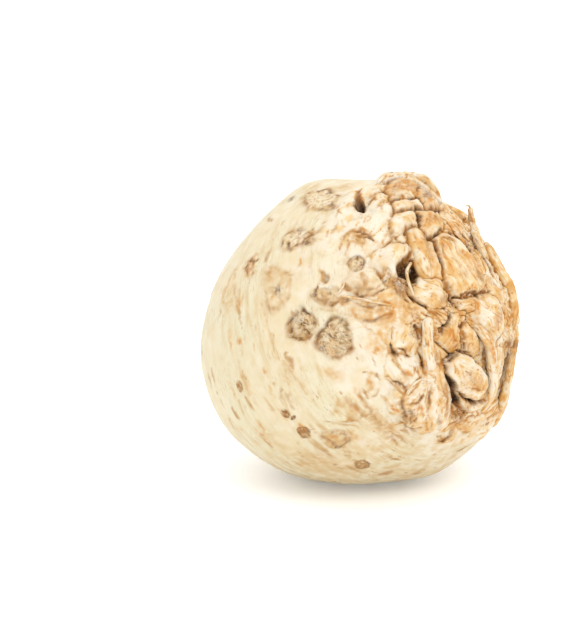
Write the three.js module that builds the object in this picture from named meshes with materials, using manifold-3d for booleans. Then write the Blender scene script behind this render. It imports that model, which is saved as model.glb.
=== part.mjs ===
// A celeriac root: one solid globe of root flesh that lies on its side. The trimmed root end, a mass of
// lumps, cut roots and deep clefts, faces +X and a little up. The leaf end, a round scar, faces away from it.
// Lengths are in millimetres, +Z is up, and the origin is the centre of the small flat spot it rests on.
import * as THREE from "three";
import { mergeVertices } from "three/addons/utils/BufferGeometryUtils.js";
import Module from "manifold-3d";

// Driving dimensions.
const WIDTH = 120; // across the root, as the front view shows it
const RADIUS = 0.492 * WIDTH; // the mean radius of the globe
const REST_DEPTH = 2.2; // how much of the globe's underside the flat rest spot takes off
const ROOT_END_LIFT = THREE.MathUtils.degToRad(26); // the root axis above the horizontal
const RECESS = 4; // how far the flesh lies back between the lumps of the root end

// The front view, in which most of the root end is laid out: a place is [x, y, lift], the pixel of the
// 570 x 630 reference photograph at which it shows, and how far it stands out of the skin there.
const VIEW = {
  azimuth: THREE.MathUtils.degToRad(41),
  elevation: THREE.MathUtils.degToRad(15),
  distance: 850,
  centre: [361.5, 330],
  pixel: WIDTH / 317,
};

// The tone of the flesh.
const FLESH = { color: 0xe9d9b4, roughness: 0.62, metalness: 0 };

// Mesh fineness: the globe's facets, and how much closer together they lie at the root end.
const GLOBE_DETAIL = 19;
const GATHER = { closeness: 0.42, spread: 2.3 };
const ROOT_SIDES = 8;

const CENTRE = new THREE.Vector3(0, 0, RADIUS - REST_DEPTH);

// The map of the globe: millimetres east and north of the root pole, along the skin.
const AXIS = new THREE.Vector3(Math.cos(ROOT_END_LIFT), 0, Math.sin(ROOT_END_LIFT));
const NORTH = new THREE.Vector3(-Math.sin(ROOT_END_LIFT), 0, Math.cos(ROOT_END_LIFT));
const EAST = new THREE.Vector3(0, 1, 0);

// The direction from the globe's centre to a place on the map.
function onMap(east, north) {
  const arc = Math.hypot(east, north);
  const angle = arc / RADIUS;
  const side = arc > 1e-6 ? Math.sin(angle) / arc : 1 / RADIUS;
  return AXIS.clone()
    .multiplyScalar(Math.cos(angle))
    .addScaledVector(EAST, east * side)
    .addScaledVector(NORTH, north * side)
    .normalize();
}

// Broad swellings and flats of the globe: where on the map, how wide, and how high.
const SWELLINGS = [
  { name: "belly", at: onMap(-128, -40), width: 42, height: 4.5 },
  { name: "shoulder flat", at: onMap(-46, 99), width: 48, height: -3 },
  { name: "lower cheek", at: onMap(33, -58), width: 26, height: 2.6 },
  { name: "underside", at: onMap(-34, -104), width: 36, height: -1.3 },
  { name: "under knob", at: onMap(8, -86), width: 12, height: 2 },
  { name: "far dip", at: onMap(38, 24), width: 20, height: -3.2 },
  { name: "back swelling", at: onMap(95, 40), width: 40, height: 2.2 },
  { name: "back flat", at: onMap(110, -60), width: 36, height: -2.4 },
];
const CROWN = { at: onMap(8, 172), dish: 15, depth: 3.2, rim: 21, rimWidth: 6, rimHeight: 1.6 };
const ROOT_END = { at: onMap(6, -4), reach: 50, edge: 12 };

const arcTo = (direction, at) => Math.acos(THREE.MathUtils.clamp(direction.dot(at), -1, 1)) * RADIUS;
const hump = (distance, width) => Math.exp(-((distance / width) ** 2));

// 1 in the middle of the root end, falling to 0 over its edge.
function inRootEnd(direction) {
  return 1 - THREE.MathUtils.smoothstep(arcTo(direction, ROOT_END.at), ROOT_END.reach - ROOT_END.edge, ROOT_END.reach);
}

// The globe's radius in a direction, before the root end is sunk back.
function skinRadius(direction) {
  let radius = RADIUS;
  for (const { at, width, height } of SWELLINGS) radius += height * hump(arcTo(direction, at), width);
  const fromCrown = arcTo(direction, CROWN.at);
  radius -= CROWN.depth * hump(fromCrown, CROWN.dish);
  radius += CROWN.rimHeight * hump(fromCrown - CROWN.rim, CROWN.rimWidth);
  return radius;
}

// A slow wave through space that keeps the lumps and roots from being regular.
function wander(point) {
  const { x, y, z } = point;
  return new THREE.Vector3(
    0.9 * Math.sin(0.41 * y + 0.23 * z + 1.1) + 0.4 * Math.sin(0.93 * z - 0.71 * x + 0.4),
    0.9 * Math.sin(0.37 * z + 0.29 * x + 2.3) + 0.4 * Math.sin(0.89 * x + 0.67 * y + 1.9),
    0.9 * Math.sin(0.43 * x - 0.27 * y + 4.2) + 0.4 * Math.sin(0.97 * y - 0.59 * z + 3.1),
  );
}

// The point that shows at a pixel of the front view, standing out of the skin by lift. Where the view ray
// misses the globe, it is the ray's nearest point to the globe.
const towards = new THREE.Vector3(
  Math.sin(VIEW.azimuth) * Math.cos(VIEW.elevation),
  -Math.cos(VIEW.azimuth) * Math.cos(VIEW.elevation),
  Math.sin(VIEW.elevation),
);
const across = new THREE.Vector3(Math.cos(VIEW.azimuth), Math.sin(VIEW.azimuth), 0);
const upwards = towards.clone().cross(across);

function seen([x, y, lift = 0]) {
  const eye = towards.clone().multiplyScalar(VIEW.distance);
  const ray = eye
    .clone()
    .negate()
    .addScaledVector(across, (x - VIEW.centre[0]) * VIEW.pixel)
    .addScaledVector(upwards, (VIEW.centre[1] - y) * VIEW.pixel)
    .normalize();
  const nearest = -eye.dot(ray);
  const missBy2 = eye.lengthSq() - nearest * nearest;
  let point = eye.clone().addScaledVector(ray, nearest);
  for (let pass = 0; pass < 6; pass++) {
    const reach = skinRadius(point.clone().normalize()) + lift;
    point = eye.clone().addScaledVector(ray, nearest - Math.sqrt(Math.max(0, reach * reach - missBy2)));
  }
  return point;
}

// The point at a place of the map, standing out of the skin by lift.
function mapped([east, north, lift = 0]) {
  const direction = onMap(east, north);
  return direction.multiplyScalar(skinRadius(direction) + lift);
}

// The root end as the front view shows it. A lump lies along a line from one place to another; it is so
// wide, and its top stands so far out of the skin. A root follows its places, tapering from its first
// radius to its last.
const SEEN_LUMPS = [
  { name: "top stub", from: [394, 189], to: [418, 186], width: 9.5, top: 2.6 },
  { name: "second stub", from: [422, 191], to: [434, 202], width: 8, top: 3 },
  { name: "top fold", from: [366, 190], to: [386, 190], width: 8, top: 2.2 },
  { name: "top fold low", from: [372, 202], to: [384, 203], width: 6, top: 1.4 },
  { name: "left lobe", from: [324, 232], to: [349, 192], width: 17, top: 1.8 },
  { name: "bulb lobe", from: [345, 226], to: [386, 211], width: 10.5, top: 2.6 },
  { name: "under bulb", from: [352, 248], to: [384, 232], width: 13, top: 1.6 },
  { name: "thumb", from: [392, 231], to: [414, 217], width: 12.5, top: 4.2 },
  { name: "thumb knuckle", from: [403, 214], to: [417, 216], width: 8.5, top: 3.4 },
  { name: "speckled mass", from: [428, 213], to: [430, 233], width: 11, top: 3.4 },
  { name: "beak", from: [372, 264], to: [403, 244], width: 11.5, top: 3.4 },
  { name: "beak knob", from: [401, 238], to: [407, 236], width: 5.5, top: 4.4 },
  { name: "under beak", from: [372, 288], to: [390, 286], width: 12, top: 0.4 },
  { name: "cheek", from: [424, 280], to: [434, 302], width: 14.5, top: 2.6 },
  { name: "cheek tail", from: [412, 300], to: [440, 318], width: 8, top: 0.8 },
  { name: "plate upper", from: [444, 240], to: [470, 276], width: 14, top: 3 },
  { name: "plate lower", from: [456, 258], to: [480, 286], width: 14, top: 2.8 },
  { name: "flesh plate", from: [474, 304], to: [494, 330], width: 17, top: 3.6 },
  { name: "fold above", from: [452, 303], to: [474, 309], width: 8, top: 1.4 },
  { name: "brown fold", from: [441, 336], to: [458, 324], width: 11, top: 1.4 },
  { name: "brown fold low", from: [444, 350], to: [460, 340], width: 8, top: 0.4 },
  { name: "nut", from: [468, 330], to: [472, 354], width: 8.5, top: 3.6 },
  { name: "shell", from: [456, 366], to: [480, 390], width: 16.5, top: 4.4, fall: 0.3 },
  { name: "shell back", from: [464, 360], to: [488, 378], width: 9, top: 3.2 },
  { name: "right wall", from: [494, 352], to: [491, 400], width: 8, top: 1 },
  { name: "right lobe", from: [498, 352], to: [498, 382], width: 7, top: 0.6 },
  { name: "clove left", from: [424, 387], to: [409, 420], width: 9, top: 2.8 },
  { name: "clove middle", from: [429, 385], to: [429, 422], width: 8.5, top: 3.8 },
  { name: "clove right", from: [437, 386], to: [444, 418], width: 7.5, top: 2.8 },
  { name: "left cushion", from: [395, 334], to: [412, 346], width: 11, top: 1.2 },
  { name: "white cheek", from: [401, 357], to: [413, 379], width: 14, top: 2 },
  { name: "far ridge", from: [440, 210], to: [460, 231], width: 7, top: 0.8 },
  { name: "far strip", from: [450, 224], to: [472, 254], width: 6.5, top: 1.8 },
  { name: "far pad", from: [508, 306], to: [512, 333], width: 8, top: 0.6 },
  { name: "lower wall", from: [458, 404], to: [492, 404], width: 8, top: 0.8 },
  { name: "low fold", from: [446, 428], to: [472, 422], width: 10, top: 0.6 },
  { name: "low fold right", from: [478, 416], to: [494, 404], width: 9, top: 0.8 },
  { name: "layered scar", from: [354, 276], to: [369, 290], width: 15, top: 1.3, fall: 0.12 },
  { name: "lumpy scar", from: [321, 296], to: [335, 297], width: 10, top: 1.3, fall: 0.16 },
  { name: "round scar", from: [331, 339], to: [340, 341], width: 13, top: 1.1, fall: 0.12 },
  { name: "ridged scar", from: [300, 325], to: [307, 328], width: 11, top: 1.1, fall: 0.13 },
  { name: "split scar", from: [346, 237], to: [368, 236], width: 7.5, top: 1, fall: 0.16 },
  { name: "high scar", from: [311, 204], to: [326, 196], width: 8, top: 0.9, fall: 0.14 },
];

const SEEN_ROOTS = [
  { name: "arch", path: [[384, 184, -1], [396, 180, 0], [411, 178, 0], [425, 183, 0], [434, 192, 0], [438, 201, -1]], radius: [2.2, 2] },
  { name: "belt", path: [[392, 206, 0], [402, 203, 1], [414, 202, 1], [424, 206, 0]], radius: [1.9, 1.9] },
  { name: "pocket wall", path: [[366, 188, -1], [366, 198, 0], [370, 207, -1]], radius: [1.2, 1.4] },
  { name: "knobbly finger", path: [[414, 232, 1], [417, 243, 2], [421, 255, 2.4], [424, 266, 2.2], [427, 277, 0.5]], radius: [3.4, 2.6] },
  { name: "middle finger", path: [[426, 320, 0], [426, 334, 1.4], [428, 350, 1.6], [431, 365, 1.2], [436, 377, 0]], radius: [1.8, 2.4] },
  { name: "right finger", path: [[472, 324, 0], [480, 334, 1.6], [486, 347, 2], [488, 360, 1.6], [491, 373, 0.5]], radius: [1.9, 2.6] },
  { name: "crescent", path: [[456, 393, -0.5], [464, 403, 0.4], [476, 407, 0.4], [487, 400, -0.5]], radius: [2, 2.4] },
  { name: "tall stub", path: [[487, 262, -2], [482, 248, 0], [477, 234, 2], [473, 220, 3], [470, 207, 5]], radius: [1.8, 1.5] },
  { name: "far rib", path: [[488, 250, 0], [496, 263, 0], [503, 276, 0], [509, 288, 0], [513, 301, 0], [515, 316, -1]], radius: [1.3, 1.8] },
  { name: "near rib", path: [[514, 339, 0.4], [509, 353, -0.4], [505, 369, -0.4], [502, 385, -0.4], [497, 402, -1]], radius: [1.2, 1.9] },
  { name: "plate rib", path: [[434, 246, -1], [439, 260, 0], [445, 275, 0], [451, 290, -1]], radius: [1.6, 1.4] },
  { name: "upper strip", path: [[434, 208, -1], [446, 218, 0], [456, 233, -0.5], [466, 246, -1]], radius: [1.7, 1.5] },
  { name: "clove peel", path: [[420, 379, 0.6], [413, 386, 0.8], [406, 398, 0], [402, 412, -1]], radius: [1.2, 1.5] },
];

// Clefts and holes: a path cut into the flesh, as wide as its two radii and centred at each lift.
const CLEFTS = [
  { name: "dark cavity", path: [[409, 254, 1], [404, 266, -2], [404, 280, -3], [412, 290, 0]], radius: [1.6, 4.2] },
  { name: "cavity side", path: [[414, 268, 0], [417, 275, -2], [413, 286, -1]], radius: [1.6, 2.6] },
  { name: "upper pocket", path: [[359, 191, 1], [360, 200, -1], [359, 208, -2]], radius: [0.7, 2.6] },
  { name: "pocket beside", path: [[372, 193, 1], [370, 203, 0]], radius: [1.6, 1.4] },
  { name: "gap by the shell", path: [[446, 362, 0], [448, 374, -2], [450, 388, -2], [456, 402, 0]], radius: [1.4, 3] },
  { name: "scar hole", path: [[321, 272, 0.5], [325, 277, -0.5]], radius: [1.4, 1.8] },
];

// The far side of the root end, which the front view doesn't show, on the map.
const FAR_LUMPS = [
  { name: "far lump a", from: [42, 31], to: [52, 40], width: 11, top: 2.4 },
  { name: "far lump b", from: [44, 12], to: [56, 20], width: 12, top: 3 },
  { name: "far lump c", from: [48, -10], to: [53, 2], width: 11, top: 2.4 },
  { name: "far lump d", from: [41, -36], to: [52, -24], width: 13, top: 2.6 },
  { name: "far lump e", from: [29, -55], to: [42, -48], width: 11, top: 1.6 },
  { name: "far lump f", from: [30, 48], to: [42, 52], width: 11, top: 2.2 },
  { name: "far lump g", from: [4, -58], to: [18, -60], width: 10, top: 0.8 },
  { name: "far lump h", from: [60, 4], to: [64, 20], width: 9, top: 1 },
  { name: "far lump i", from: [54, -22], to: [60, -8], width: 9, top: 1.2 },
  { name: "far lump j", from: [14, 52], to: [24, 46], width: 9, top: 1.6 },
  { name: "far lump k", from: [50, 28], to: [58, 30], width: 9, top: 1.4 },
  { name: "far lump l", from: [30, 12], to: [39, 22], width: 11, top: 2.2 },
  { name: "far lump m", from: [35, -4], to: [42, 8], width: 10, top: 1.8 },
  { name: "far lump n", from: [24, 28], to: [36, 36], width: 12, top: 2.4 },
  { name: "far lump o", from: [34, -20], to: [44, -12], width: 10, top: 1.6 },
  { name: "far lump p", from: [32, -34], to: [37, -24], width: 9, top: 1.6 },
  { name: "far lump q", from: [18, 40], to: [26, 38], width: 9, top: 1.8 },
];
const FAR_ROOTS = [
  { name: "far root a", path: [[41, 44, 0], [52, 34, 1.5], [58, 22, 1], [60, 10, -1]], radius: [2.2, 1.8] },
  { name: "far root b", path: [[44, -20, 0], [54, -14, 1.2], [62, -6, 0.6], [68, 4, -1]], radius: [2.4, 1.6] },
  { name: "far root c", path: [[38, -44, 0], [48, -40, 1], [57, -32, 0.5], [62, -24, -1]], radius: [2, 1.6] },
  { name: "far root d", path: [[20, 60, 0], [32, 62, 1], [44, 60, -1]], radius: [2.2, 1.8] },
];

const wasm = await Module();
wasm.setup();

function solidOf(geometry) {
  geometry.deleteAttribute("normal");
  geometry.deleteAttribute("uv");
  const merged = mergeVertices(geometry, 1e-4);
  return new wasm.Manifold(
    new wasm.Mesh({ numProp: 3, vertProperties: merged.attributes.position.array, triVerts: new Uint32Array(merged.index.array) }),
  );
}

// Moves every vertex of a geometry to where place(vertex) puts it.
function reshape(geometry, place) {
  const position = geometry.attributes.position;
  const vertex = new THREE.Vector3();
  for (let i = 0; i < position.count; i++) {
    vertex.copy(place(vertex.fromBufferAttribute(position, i)));
    position.setXYZ(i, vertex.x, vertex.y, vertex.z);
  }
  return geometry;
}

// How far out of the skin the flesh stands in a direction: the sunk floor of the root end, or the highest
// of the lumps over that place. A lump falls away from its middle line ever more steeply.
function relief(direction, lumps) {
  const point = direction.clone().multiplyScalar(RADIUS);
  point.add(wander(point));
  let height = -RECESS * inRootEnd(direction);
  for (const { line, width, top, fall } of lumps) {
    const away = line.closestPointToPoint(point, true, new THREE.Vector3()).distanceTo(point) / (width / 2);
    if (away < 2) height = Math.max(height, top - fall * width * away ** 2.4);
  }
  return height;
}

function lumpsOf(list, place) {
  return list.map(({ from, to, width, top, fall = 0.36 }) => {
    const [start, end] = [from, to].map((spot) => place(spot).setLength(RADIUS));
    return { line: new THREE.Line3(start, end), width, top, fall };
  });
}

// The globe with its lumps. Its facets are drawn together towards the root end.
function globe() {
  const lumps = [...lumpsOf(SEEN_LUMPS, seen), ...lumpsOf(FAR_LUMPS, mapped)];
  return solidOf(
    reshape(new THREE.IcosahedronGeometry(1, GLOBE_DETAIL), (vertex) => {
      const direction = vertex.clone().normalize();
      const turn = new THREE.Vector3().crossVectors(ROOT_END.at, direction);
      if (turn.lengthSq() > 1e-12) {
        const angle = ROOT_END.at.angleTo(direction);
        const share = GATHER.closeness + (1 - GATHER.closeness) * (angle / Math.PI) ** GATHER.spread;
        direction.copy(ROOT_END.at).applyAxisAngle(turn.normalize(), angle * share);
      }
      const height = relief(direction, lumps);
      return direction.clone().multiplyScalar(skinRadius(direction) + height);
    }),
  );
}

// A tapered root with round ends, turned straight and then bent along its path.
function root(places, [first, last]) {
  const path = new THREE.CatmullRomCurve3(places);
  const length = path.getLength();
  const steps = Math.max(4, Math.round(length / 4));
  const profile = [];
  for (let i = 0; i <= steps; i++) {
    const t = i / steps;
    const end = Math.min(1, Math.min(t, 1 - t) * (length / Math.max(first, last)));
    const round = Math.sqrt(1 - (1 - end) ** 2);
    profile.push(new THREE.Vector2(i % steps ? THREE.MathUtils.lerp(first, last, t) * Math.max(round, 0.55) : 0, t));
  }
  const outward = path.getPointAt(0.5).normalize();
  return solidOf(
    reshape(new THREE.LatheGeometry(profile, ROOT_SIDES), (vertex) => {
      const centre = path.getPointAt(THREE.MathUtils.clamp(vertex.y, 0, 1));
      const ahead = path.getTangentAt(THREE.MathUtils.clamp(vertex.y, 0, 1));
      const side = ahead.clone().cross(outward).normalize();
      const top = side.clone().cross(ahead);
      centre.addScaledVector(side, vertex.x).addScaledVector(top, vertex.z);
      return centre.add(wander(centre).multiplyScalar(0.5));
    }),
  );
}

function celeriac() {
  let body = globe();
  const join = (solid) => (body = body.add(solid));
  const cut = (solid) => (body = body.subtract(solid));
  for (const { path, radius } of CLEFTS) cut(root(path.map(seen), radius));
  for (const { path, radius } of SEEN_ROOTS) join(root(path.map(seen), radius));
  for (const { path, radius } of FAR_ROOTS) join(root(path.map(mapped), radius));
  const floor = new THREE.BoxGeometry(2 * WIDTH, 2 * WIDTH, WIDTH).translate(0, 0, -CENTRE.z - WIDTH / 2);
  cut(solidOf(floor));
  // The largest shell of the result is the whole root, without the sealed pockets between buried lumps.
  const [skin] = solidOf(geometryOf(body)).decompose().sort((a, b) => b.volume() - a.volume());
  return geometryOf(skin);
}

function geometryOf(solid) {
  const { vertProperties, triVerts } = solid.getMesh();
  return new THREE.BufferGeometry()
    .setAttribute("position", new THREE.BufferAttribute(vertProperties, 3))
    .setIndex(new THREE.BufferAttribute(triVerts, 1));
}

function meshOf(geometry, name, look) {
  geometry.computeVertexNormals();
  const mesh = new THREE.Mesh(geometry, new THREE.MeshStandardMaterial(look));
  mesh.name = name;
  return mesh;
}

const celeriacRoot = new THREE.Group();
const flesh = meshOf(celeriac(), "celeriac_root", FLESH);
flesh.position.copy(CENTRE);
celeriacRoot.add(flesh);

export default celeriacRoot;
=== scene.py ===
import math

import bpy
import numpy as np
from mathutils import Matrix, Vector, noise


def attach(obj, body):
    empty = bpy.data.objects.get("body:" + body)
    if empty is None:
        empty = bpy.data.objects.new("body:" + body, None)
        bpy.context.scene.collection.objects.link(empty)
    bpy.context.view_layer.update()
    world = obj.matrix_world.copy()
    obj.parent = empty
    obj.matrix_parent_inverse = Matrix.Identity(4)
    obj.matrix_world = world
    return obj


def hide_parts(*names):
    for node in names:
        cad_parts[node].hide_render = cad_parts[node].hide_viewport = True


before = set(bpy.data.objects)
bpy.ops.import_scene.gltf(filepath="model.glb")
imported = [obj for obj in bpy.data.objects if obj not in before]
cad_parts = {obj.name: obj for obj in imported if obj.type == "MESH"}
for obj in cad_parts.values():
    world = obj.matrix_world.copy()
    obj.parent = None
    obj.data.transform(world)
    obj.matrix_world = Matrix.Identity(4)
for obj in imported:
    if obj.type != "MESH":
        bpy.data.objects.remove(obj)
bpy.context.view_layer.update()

# The globe, as in the solid: its width in the picture and the depth of its flat spot, in mm.
WIDTH = 120.0
RADIUS = 0.492 * WIDTH
REST_DEPTH = 2.2
CENTRE = np.array([0.0, 0.0, RADIUS - REST_DEPTH])
ROOT_END_LIFT = math.radians(26)
AXIS = np.array([math.cos(ROOT_END_LIFT), 0.0, math.sin(ROOT_END_LIFT)])
NORTH = np.array([-math.sin(ROOT_END_LIFT), 0.0, math.cos(ROOT_END_LIFT)])
EAST = np.array([0.0, 1.0, 0.0])

# How far the root end's ground stands out of the skin, and how far a plate grows past its outline, in mm.
GROUND = 0.4
GROWTH = 1.15

# The photograph's view: the size of the picture in pixels, which places on its side are given in, and the
# pixel where the globe's centre lies. Angles are in radians and lengths in mm.
PICTURE = (570, 630)
AZIMUTH = math.radians(41)
ELEVATION = math.radians(15)
DISTANCE = 850.0
PICTURE_CENTRE = (361.5, 330.0)
PIXEL = WIDTH / 317
TOWARDS = np.array([
    math.sin(AZIMUTH) * math.cos(ELEVATION),
    -math.cos(AZIMUTH) * math.cos(ELEVATION),
    math.sin(ELEVATION),
])
ACROSS = np.array([math.cos(AZIMUTH), math.sin(AZIMUTH), 0.0])
UPWARDS = np.cross(TOWARDS, ACROSS)

# The globe's mesh: how finely each of its 20 faces is split, and how closely its corners are drawn together
# about a place on the map.
FACETS = 99
GATHER_AT = (0, -10)
GATHER_CLOSENESS = 0.40
GATHER_SPREAD = 2.1


def unit(v):
    """Vectors made 1 long."""
    return v / np.maximum(np.linalg.norm(v, axis=-1, keepdims=True), 1e-12)


def on_map(east, north):
    """The direction of a place on the globe's map: millimetres east and north of the root pole."""
    arc = math.hypot(east, north)
    side = math.sin(arc / RADIUS) / arc if arc > 1e-6 else 1 / RADIUS
    return unit(math.cos(arc / RADIUS) * AXIS + side * (east * EAST + north * NORTH))


def arc_to(directions, at):
    """How far directions are from one, in mm along the globe."""
    return np.arccos(np.clip(directions @ at, -1, 1)) * RADIUS


def hump(distance, width):
    """1 at no distance, falling off smoothly past a width."""
    return np.exp(-((distance / width) ** 2))


def ramp(x, low, high):
    """0 up to low, 1 from high on, and smooth between."""
    t = np.clip((x - low) / (high - low), 0, 1)
    return t * t * (3 - 2 * t)


def grain(points, size, octaves=2, seed=0.0):
    """Smooth noise about 0 whose grains are size across, in the units of points."""
    return np.array([noise.fractal(p, 1.0, 2.0, octaves) for p in (points / size + seed).tolist()])


# Broad swellings and flats of the globe, as in the solid: the place, the width and the height, in mm.
SWELLINGS = [
    (on_map(-128, -40), 42, 4.5),
    (on_map(-46, 99), 48, -3.0),
    (on_map(33, -58), 26, 2.6),
    (on_map(-34, -104), 36, -1.3),
    (on_map(8, -86), 12, 2.0),
    (on_map(38, 24), 20, -3.2),
    (on_map(95, 40), 40, 2.2),
    (on_map(110, -60), 36, -2.4),
]
# Where the skin and flesh lie lower or higher than in the solid, which is plainer.
TRIMMED = [
    (on_map(31, 38), 14, -3.0),
    (on_map(39, 22), 10, -1.6),
    (on_map(38, -36), 14, -2.2),
    (on_map(12, 72), 13, -1.5),
    (on_map(-9, 88), 13, 2.2),
]
# The leaf end: its place, the width and depth of its dish, and the radius, width and height of its rim.
CROWN = on_map(8, 172)
CROWN_DISH = (15, 3.2)
CROWN_RIM = (21, 6, 1.6)
# The outline of the gnarled root end, on the map, from its top past the near side and the foot to the far
# side, and how wide its edge is.
ROOT_END = np.array([
    (1, 59), (-8, 54), (-16, 50), (-14, 43), (-17, 36), (-23, 27), (-31, 23), (-36, 15), (-36, 9),
    (-32, 3), (-35, -6), (-38, -12), (-38, -17), (-33, -22), (-30, -28), (-36, -31), (-38, -38),
    (-35, -47), (-27, -53), (-16, -55), (-1, -56), (9, -57), (27, -55), (40, -48), (52, -36), (60, -20),
    (62, 0), (58, 20), (52, 36), (42, 50), (26, 60), (12, 62),
], float)
ROOT_END_EDGE = 5


def inside_by(flat, outline):
    """How far flat points lie inside a closed outline, less than 0 outside it."""
    nearest = np.full(len(flat), 1e9)
    inside = np.zeros(len(flat), bool)
    for a, b in zip(outline, np.roll(outline, -1, axis=0)):
        line = b - a
        offset = flat - a
        t = np.clip(offset @ line / max(line @ line, 1e-9), 0, 1)
        nearest = np.minimum(nearest, np.linalg.norm(offset - t[:, None] * line, axis=1))
        rise = line[1] if abs(line[1]) > 1e-9 else 1e-9
        passes = (a[1] > flat[:, 1]) != (b[1] > flat[:, 1])
        inside ^= passes & (flat[:, 0] < a[0] + (flat[:, 1] - a[1]) / rise * line[0])
    return np.where(inside, nearest, -nearest)


# How far from the root pole the far side of the root end begins, and from where it is wholly far.
FAR_SIDE = (34, 46)


def far_side(directions):
    """1 on the far side of the root end and beyond it, where the forms are plainer, and 0 on the near one."""
    return ramp(arc_to(directions, AXIS) * (directions @ EAST > 0), *FAR_SIDE)


def in_root_end(directions):
    """1 in the gnarled root end, 0 on the skin, and between at its edge."""
    sides = unit(np.stack([directions @ EAST, directions @ NORTH], 1))
    return ramp(inside_by(sides * arc_to(directions, AXIS)[:, None], ROOT_END), -1, ROOT_END_EDGE)


def skin_radius(directions):
    """How far the skin is from the globe's centre."""
    radius = np.full(len(directions), RADIUS)
    for at, width, height in SWELLINGS + TRIMMED:
        radius += height * hump(arc_to(directions, at), width)
    from_crown = arc_to(directions, CROWN)
    radius -= CROWN_DISH[1] * hump(from_crown, CROWN_DISH[0])
    radius += CROWN_RIM[2] * hump(from_crown - CROWN_RIM[0], CROWN_RIM[1])
    return radius


# A lump lies along a line from one place to another. It has a width and a top, in mm, and a tone from 0,
# white flesh, to 1, brown.
LUMPS = [
    ("top fold", (366, 189), (386, 186), 7.0, 1.8, 0.06),
    ("top fold low", (372, 204), (382, 196), 4.6, 1.2, 0.08),
    ("cup", (369, 193), (378, 190), 3.4, 1.6, 0.08),
    ("left ridge", (341, 222), (356, 193), 13.0, 1.7, 0.02),
    ("left ridge foot", (326, 240), (340, 220), 16.0, 1.0, 0.03),
    ("knob", (397, 237), (398, 237), 2.6, 3.6, 0.1),
    ("small knob", (402, 238), (403, 238.5), 2.0, 3.9, 0.2),
    ("under beak", (366, 294), (388, 290), 10.0, 0.6, 0.12),
    ("cheek fold", (432, 307), (447, 315), 5.0, 1.2, 0.2),
    ("cheek fold low", (424, 312), (440, 322), 4.4, 0.9, 0.15),
    ("flesh left", (462, 302), (474, 305), 6.0, 2.2, 0.25),
    ("fold above", (452, 306), (464, 310), 5.0, 1.4, 0.3),
    ("right low", (486, 412), (496, 404), 7.0, 0.8, 0.25),
    ("beside finger", (416, 338), (420, 366), 5.0, 0.3, 0.3),
    ("far ridge", (442, 207), (460, 223), 5.0, 0.2, 0.45),
    ("far ridge low", (444, 216), (460, 236), 4.6, 1.0, 0.45),
    ("far fold", (446, 226), (462, 240), 3.6, 1.0, 0.45),
    ("far strip", (460, 228), (474, 250), 4.4, 1.1, 0.35),
    ("far strip end", (474, 250), (484, 270), 5.0, 1.1, 0.35),
    ("far strip side", (470, 234), (482, 252), 4.0, 0.7, 0.45),
    ("far shelf low", (503, 300), (509, 322), 6.0, 0.8, 0.4),
    ("far pad", (507, 334), (512, 344), 5.0, 1.0, 0.3),
    ("lower wall", (462, 416), (484, 414), 7.0, 0.3, 0.45),
    ("soil fold", (453, 412), (459, 424), 4.0, 0.6, 0.6),
    ("low fold", (446, 430), (458, 422), 5.5, 0.7, 0.35),
    ("low crescent", (442, 441.5), (450, 441), 3.4, 0.9, 0.25),
    ("low crescent end", (450, 441), (456, 433), 3.4, 0.9, 0.25),
    ("low fold right", (468, 426), (494, 410), 9.0, 0.8, 0.22),
    ("lumpy scar", (320, 292), (330, 299), 9.0, 1.2, 0.12),
    ("lumpy scar end", (336, 288), (341, 296), 5.0, 1.2, 0.12),
    ("long fold", (350, 322), (392, 316), 6.0, 0.5, 0.03),
    ("clove left ridge", (418, 387), (409, 406), 8.0, 4.2, 0.12),
    ("clove middle ridge", (426, 386), (421, 420), 7.0, 4.6, 0.12),
    ("clove right ridge", (436, 386), (438, 424), 9.0, 4.7, 0.14),
    ("clove cap", (425, 381), (435, 381), 4.6, 4.7, 0.0),
]

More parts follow.
